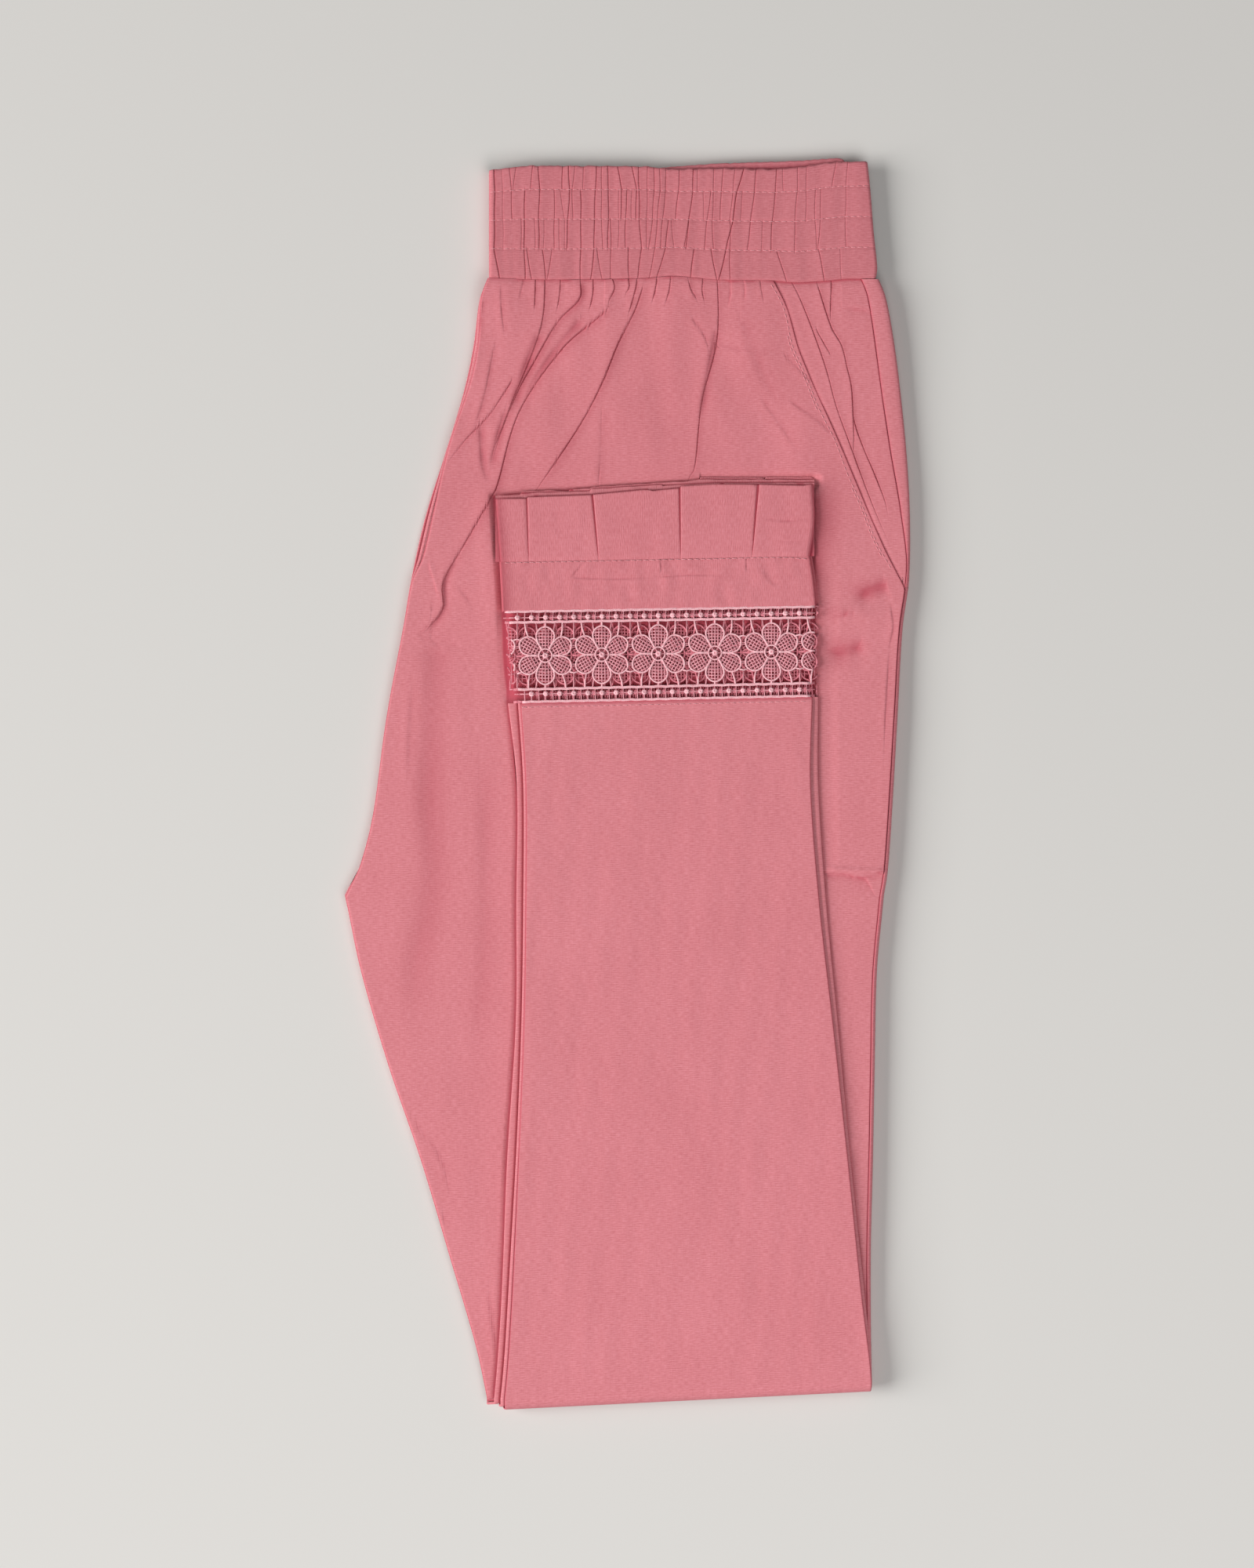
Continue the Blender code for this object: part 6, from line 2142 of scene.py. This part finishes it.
# Painted shade in the gaps at the under frills' edges, as x, y and width
PAINTED_NOTCH_SHADES = (
    (-46.8, 133.4, 2.6), (-41.6, 132.0, 1.2), (-25.6, 134.9, 1.0), (43.6, 137.6, 0.9), (79.4, 137.4, 2.0),
)
FRILL_STITCHES = (
    (-56.4, 101.2), (-41.0, 101.5), (0.0, 102.3), (18.7, 102.7), (42.0, 103.1), (57.6, 103.5),
    (72.0, 103.6), (83.0, 103.0),
)
# Columns round each pleat's fold: offset, height and painted shade in the crevice; under the fold the painted
# shade is full
BEFORE_FOLD = ((0.7, 0.74, 0.0), (0.35, 0.66, 0.15), (0.12, 0.5, 0.5), (0.0, 0.36, 0.8))
UNDER_FOLD = ((0.4, -0.2), (5.0, -0.75), (5.25, -0.5), (5.0, -0.25), (2.5, -0.05), (0.35, 0.1))
AFTER_FOLD = ((0.02, 0.3, 0.8), (0.0, 0.6, 0.5), (0.06, 0.8, 0.1), (0.3, 0.92, 0.0))
FRILL_CREASES = creases_from(
    "lip valley cut width side",
    (0.28, 0.28, 0.2, 1.2, 1, (64.1, 120.8), (75, 120.2), (85, 121.2)),
    (0.16, 0.16, 0.1, 1, 1, (71, 110.6), (79.5, 110.4)),
    (0.18, 0.2, 0.15, 1.4, 1, (-20.9, 129), (-20.6, 118), (-20.9, 108)),
    (0.14, 0.16, 0, 3, 1, (12.8, 110), (14.2, 120), (13.8, 130)),
    (0.12, 0.14, 0, 2.4, 1, (-34, 126), (-33, 118), (-30, 110)),
)


@dataclass
class Hem:
    """The plain bands and pleated frills below the lace, on top and in three layers under it."""

    BAND_CUT = Cut(
        "hem_band_top_sheet", "hem_band_right_front", (0.143, 0.026), Held.LAID, ("hem_band_under_sheet",)
    )
    UNDER_BAND_CUT = Cut(
        "hem_band_under_sheet", "hem_band_under", (0.43, 0.026), Held.FOLDED, ("left_front_sheet",), 0.0092
    )
    FRILL_CUT = Cut(
        "frill_top_sheet", "frill_right_front", (0.19, 0.034), Held.FOLDED, ("frill_under_sheet",)
    )
    UNDER_FRILL_CUT = Cut(
        "frill_under_sheet", "frill_under", (0.147, 0.078), Held.FOLDED, ("left_front_sheet",)
    )
    cloth: Material
    columns: int = 120
    band_z: float = 11.0
    frill_z: float = 11.1
    under_z: float = 5.9
    layer_step: float = 1.4
    layer_thickness: float = 0.9

    def band_height(self, x: Array, y: Array) -> Array:
        """Height of the top band's face.

        Args:
            x: Places across.
            y: Places along.

        Returns:
            The heights.
        """
        total = self.band_z + 0.12 * waves(x, y, 13.0, 51) + 0.12 * waves(x, y, 7.0, 52, 2.0)
        for crease in HEM_CREASES:
            total = total + crease.relief(x, y)
        total -= 0.3 * bell(cross_line(FRILL_SEAM, x) - y, 0.9)
        return total - roll_off(y - cross_line(LACE_TOP, x), 0.5)

    def make_bands(self) -> None:
        """Build the top hem band and the sleeve for the three hidden ones."""
        share = np.linspace(0.0, 1.0, 60)[:, None]
        left = mix(-56.8, -58.0, share)
        right = mix(86.6, 83.8, share) + 0.4 * np.sin(math.pi * share)
        places = [crease.columns(97.0 + 0.0 * share[:, 0]) for crease in HEM_CREASES[2:5]]
        x = spread_columns(left[:, 0], right[:, 0], self.columns, places)
        low = cross_line(LACE_TOP, x) + 0.02
        y = mix(low, cross_line(FRILL_SEAM, x), share)
        z = self.band_height(x, y) + hem_curl(x - left) - roll_off(right - x, 1.0)
        points = np.stack([x, y, z], axis=-1)
        edge = np.minimum(np.minimum(x - left, right - x), y - low)
        # painted shade in the creases, along the edges and in the corners beside them
        fold = np.maximum(deepest(HEM_CREASES, x, y), painted_edge_shade(edge))
        fold = np.maximum(fold, hem_shade(x - left, right - x))
        self.BAND_CUT.lay(self.cloth, points, points[..., [1, 0]], UP, fold)
        points = self.sleeve(share, left, right)
        uv = points[..., [0, 1]] + points[..., [2, 2]] * (1, 0)
        # the hidden sleeve gets an even painted shade
        self.UNDER_BAND_CUT.lay(self.cloth, points, uv, DOWN, np.full(points.shape[:2], 0.5))

    def sleeve(self, share: Array, left: Array, right: Array) -> Array:
        """Section of the hidden bands on each row: three layers with rounded edges.

        Args:
            share: Place of each row between the lace and the frill.
            left: Left end of the top band on each row.
            right: Right end of the top band.

        Returns:
            Points, in an array of rows, columns and 3.
        """
        heights = np.linspace(TURN_Z + LEFT_FRONT_FACE, TURN_Z + BACKS_OUTER, 4)
        section = Section(share)
        for side, ends, reaches in ((1, right, (1.0, 1.2, 0.3)), (-1, left, (0.6, 0.5, 0.2))):
            for layer in (0, 1, 2)[::side]:
                edge = ends + side * reaches[layer]
                bottom, top = heights[layer], heights[layer + 1]
                half = (top - bottom) / 2
                for angle in side * np.linspace(-math.pi / 2, math.pi / 2, 7):
                    z = (bottom + top) / 2 + half * math.sin(angle)
                    section.add(edge - side * half * (1 - math.cos(angle)), z)
        section.parts.append(section.parts[0])
        x, z = section.columns()
        y = mix(cross_line(LACE_TOP, x) + 0.1, cross_line(FRILL_SEAM, x), share)
        return np.stack([x, y, z], axis=-1)

    def pleat_section(self, share: Array) -> list[Array]:
        """Section across the top frill on each row: places, heights and painted shade.

        Each pleat runs on under the next one's folded edge, back beneath it, and round the
        fold. It gapes more towards the free edge.

        Args:
            share: Place of each row between the seam and the free edge.

        Returns:
            Places, heights and painted shade amounts, each in rows and columns.
        """
        lines = [mix(pleat.seam, pleat.free, share) for pleat in PLEATS]
        lines = [FRILL_ENDS("left", share), *lines, FRILL_ENDS("right", share)]
        section = Section(share)
        for number, (start, end) in enumerate(zip(lines, lines[1:])):
            last = number == len(PLEATS)
            if number:
                for offset, height, depth in AFTER_FOLD:
                    section.add(start + offset, height, depth)
            inset = 0.02 if last else 1.6
            for step in np.linspace(0.0, 1.0, 24 if last else 18):
                place = mix(start + (0.7 if number else 0.0), end - inset, step)
                crown = 0.22 * bell(place - start, 6.0) if number else 0.1
                section.add(place, 0.75 + crown, 0.0)
            if last:
                continue
            gap = 0.1 + PLEATS[number].gape * share
            for offset, height, depth in BEFORE_FOLD:
                section.add(end - gap - offset, height, depth)
            section.add(end - 0.4 * gap, 0.3, 0.8)
            for offset, height in UNDER_FOLD:
                section.add(end + offset, height, 1.0)
        return section.columns()

    def make_frills(self) -> None:
        """Build the pleated top frill and the three layers under it."""
        share = np.concatenate([np.linspace(0.0, 0.965, 44), [0.982, 0.993, 1.0]])[:, None]
        x, heights, fold = self.pleat_section(share)
        low = cross_line(FRILL_SEAM, x) - 0.05
        y = mix(low, FRONT_EDGE(x[-1:]), share)
        z = self.frill_z + heights * mix(0.35, 1.0, ease(share * 2.2))
        z += 0.12 * waves(x, y, 13.0, 63, 2.5)
        for crease in FRILL_CREASES:
            z += crease.relief(x, y)
        z -= 0.35 * bell(y - low, 1.0)
        z -= roll_off((1 - share) * 30.0, 0.5) * np.ones_like(x)
        left, right = x[:, :1], x[:, -1:]
        z += hem_curl(x - left) - roll_off(right - x, 0.9)
        points = np.stack([x, y, z], axis=-1)
        # painted shade in the pleats' crevices, the creases, along the edges and in the corners beside them
        top = deepest(FRILL_CREASES, x, y) * (fold < 0.05)
        fold = np.maximum(fold * ease(share / 0.14), top)
        fold = np.maximum(fold, painted_edge_shade(np.minimum(x - left, right - x)))
        fold = np.maximum(fold, hem_shade(x - left, right - x))
        steps = np.abs(np.diff(x[:1])) + np.abs(np.diff(heights[-1:]))
        length = np.hstack([[[0.0]], np.cumsum(steps, axis=1)]) + 0.0 * x
        self.FRILL_CUT.lay(self.cloth, points, np.stack([y, length], -1), UP, fold)
        self.make_under_frills()

    def make_under_frills(self) -> None:
        """Build the three hidden frills as one closed sheet with a stepped free edge."""
        x = np.linspace(-60.4, 85.9, 424)[:, None]
        seam = cross_line(FRILL_SEAM, x)
        section = Section(x)
        # the last value of each column is painted shade, deepest at the seam and in the gaps between the
        # layers
        section.add(x, seam, self.under_z, 1.0)
        covers = ((LOWEST_EDGE, THIRD_EDGE), (THIRD_EDGE, SECOND_EDGE), (SECOND_EDGE, FRONT_EDGE))
        for layer, (line, cover) in enumerate(covers):
            ripple = 0.12 * waves(x, 0.0 * x, 10.0, 75 + layer)
            edge = line(x) + 0.12 * waves(x, 0.0 * x, 8.0, 71 + layer)
            low = self.under_z + layer * self.layer_step
            high = low + self.layer_thickness
            for inset, height, depth in (
                (3.0, low, 1.0), (0.35, low, 0.7), (0.05, low + 0.25, 0.3), (0.0, (low + high) / 2, 0.1),
                (0.05, high - 0.25, 0.0), (0.3, high - 0.05, 0.0),
            ):
                section.add(x, edge - inset, height + ripple, depth)
            for inset, depth in ((0.9, 0.0), (0.4, 0.5), (-0.3, 0.9)):
                section.add(x, np.minimum(cover(x) + inset, edge - 0.5), high + ripple, depth)
        section.add(x, seam, self.under_z + 2 * self.layer_step + self.layer_thickness, 1.0)
        across, up, height, fold = section.columns()
        points = np.stack([across, up, height], axis=-1)
        # less painted shade where no frill covers the layers
        covered = ease((x - FRILL_ENDS("left", 0.4)) / 1.2) * ease((FRILL_ENDS("right", 0.4) - x) / 1.2)
        fold = fold * mix(0.6, 1.0, covered)
        # painted shade in the notches
        for notch_x, notch_y, size in PAINTED_NOTCH_SHADES:
            near = np.exp(-(((across - notch_x) / size) ** 4) - ((up - notch_y) / 0.45) ** 2)
            fold = np.maximum(fold, near)
        uv = np.stack([girth(points), across], -1)
        self.UNDER_FRILL_CUT.lay(self.cloth, points, uv, TO_WAIST, fold)

    def sew(self, stitches: Stitches) -> None:
        """Sew the frill's seam."""
        seam = smooth_route(FRILL_STITCHES)
        stitches.row(seam, lambda px, py: self.band_height(px, py) + 0.16)


# Studio

@dataclass
class Studio:
    """Plain pale floor, soft lights and a camera straight above."""

    camera_height: float = 1900.0
    frame_height: float = 720.0
    cloth_height: float = 6.0
    sensor: float = 24.0

    def floor(self) -> None:
        """Lay the floor."""
        bm = bmesh.new()
        bmesh.ops.create_grid(bm, x_segments=1, y_segments=1, size=4.0)
        mesh = bpy.data.meshes.new("floor")
        bm.to_mesh(mesh)
        bm.free()
        floor = link("floor", mesh)
        finish, _, _ = start_material("matt_pale_floor", {"Base Color": linear("#DAD9D7"), "Roughness": 0.9})
        mesh.materials.append(finish)

    def light(self, name: str, place: Sequence[float], size: float, power: float, colour: str) -> None:
        """Hang a soft light that points at the pants.

        Args:
            name: The light's name.
            place: Its place in metres.
            size: Its side in metres.
            power: Its power in watts.
            colour: Its colour.
        """
        lamp = bpy.data.lights.new(name, "AREA")
        lamp.shape = "SQUARE"
        lamp.size = size
        lamp.energy = power
        lamp.color = linear(colour)[:3]
        holder = link(name, lamp)
        holder.location = place
        holder.rotation_euler = (-Vector(place)).to_track_quat("-Z", "Y").to_euler()

    def make(self) -> None:
        """Set up floor, lights, background and camera."""
        self.floor()
        self.light("key", (-3.6, -0.2, 2.2), 2.8, 193.0, "#FFFDFA")
        self.light("top", (0.5, -1.0, 1.9), 1.5, 23.6, "#FFFDFB")
        world = bpy.data.worlds.new("soft_room")
        world.use_nodes = True
        background = world.node_tree.nodes["Background"]
        background.inputs["Color"].default_value = (1.0, 1.0, 1.0, 1.0)
        background.inputs["Strength"].default_value = 0.09
        bpy.context.scene.world = world
        camera = bpy.data.cameras.new("overhead")
        camera.sensor_fit = "VERTICAL"
        camera.sensor_height = self.sensor
        distance = self.camera_height - self.cloth_height
        camera.lens = self.sensor * distance / self.frame_height
        camera.clip_start = 0.05
        holder = link("overhead", camera)
        holder.location = (0.0, 0.0, self.camera_height * MM)
        bpy.context.scene.camera = holder
        bpy.context.scene.view_settings.view_transform = "Standard"


def main() -> None:
    """Build every piece in order and report it."""
    logging.basicConfig(level=logging.INFO, format="%(message)s")
    cloth = SlubCotton("slub_cotton_salmon", "#DA848D", "#E6929D", "#CD757E", "#B84456").make()
    # A darker copy of the cotton for the waistband: painted shade for the gathered band's dimmer light
    gathered = SlubCotton("slub_cotton_waistband_painted_shade", "#D07B84", "#DB8791", "#C46D76", "#AE4050").make()
    cord = TwistedThread("rayon_lace_thread", "#FFCCD4", "#F2A3AF").make()
    net = TwistedThread("rayon_lace_net", "#F4AEBA", "#DE8895").make()
    # A darker copy of the lace thread for the lower lace layers: painted shade of the layers above
    inside = TwistedThread("rayon_lace_thread_painted_shade", "#E88C9A", "#C65E72").make()
    sewing = TwistedThread("polyester_stitch_thread", "#EBA3AC", "#D27F8A").make()
    top = TopFront(cloth)
    floor_front = FloorFront(cloth)
    top.make()
    PocketSide(cloth).make()
    floor_front.make()
    BackPanels(cloth, top, floor_front).make()
    band = Waistband(gathered)
    band.make_front()
    band.make_back()
    Lace("lace_top", "lace_right_front", (-49.2, -56.4), (85.0, 86.6), 0.0, 10.75, True).make(cord, net)
    Lace("lace_second", "lace_right_back", (-51.6, -56.9), (86.4, 88.0), 9.0, 9.8, True).make(inside, inside)
    Lace("lace_third", "lace_left", (-53.4, -57.3), (87.4, 87.8), 17.5, 8.8, False).make(inside, inside)
    hem = Hem(cloth)
    hem.make_bands()
    hem.make_frills()
    stitches = Stitches(ThreadWork("stitches", 0.18))
    for piece in (band, hem, top, floor_front):
        piece.sew(stitches)
    stitches.work.make(sewing, Slot.CLOTH)
    Studio().make()


if __name__ == "__main__":
    main()
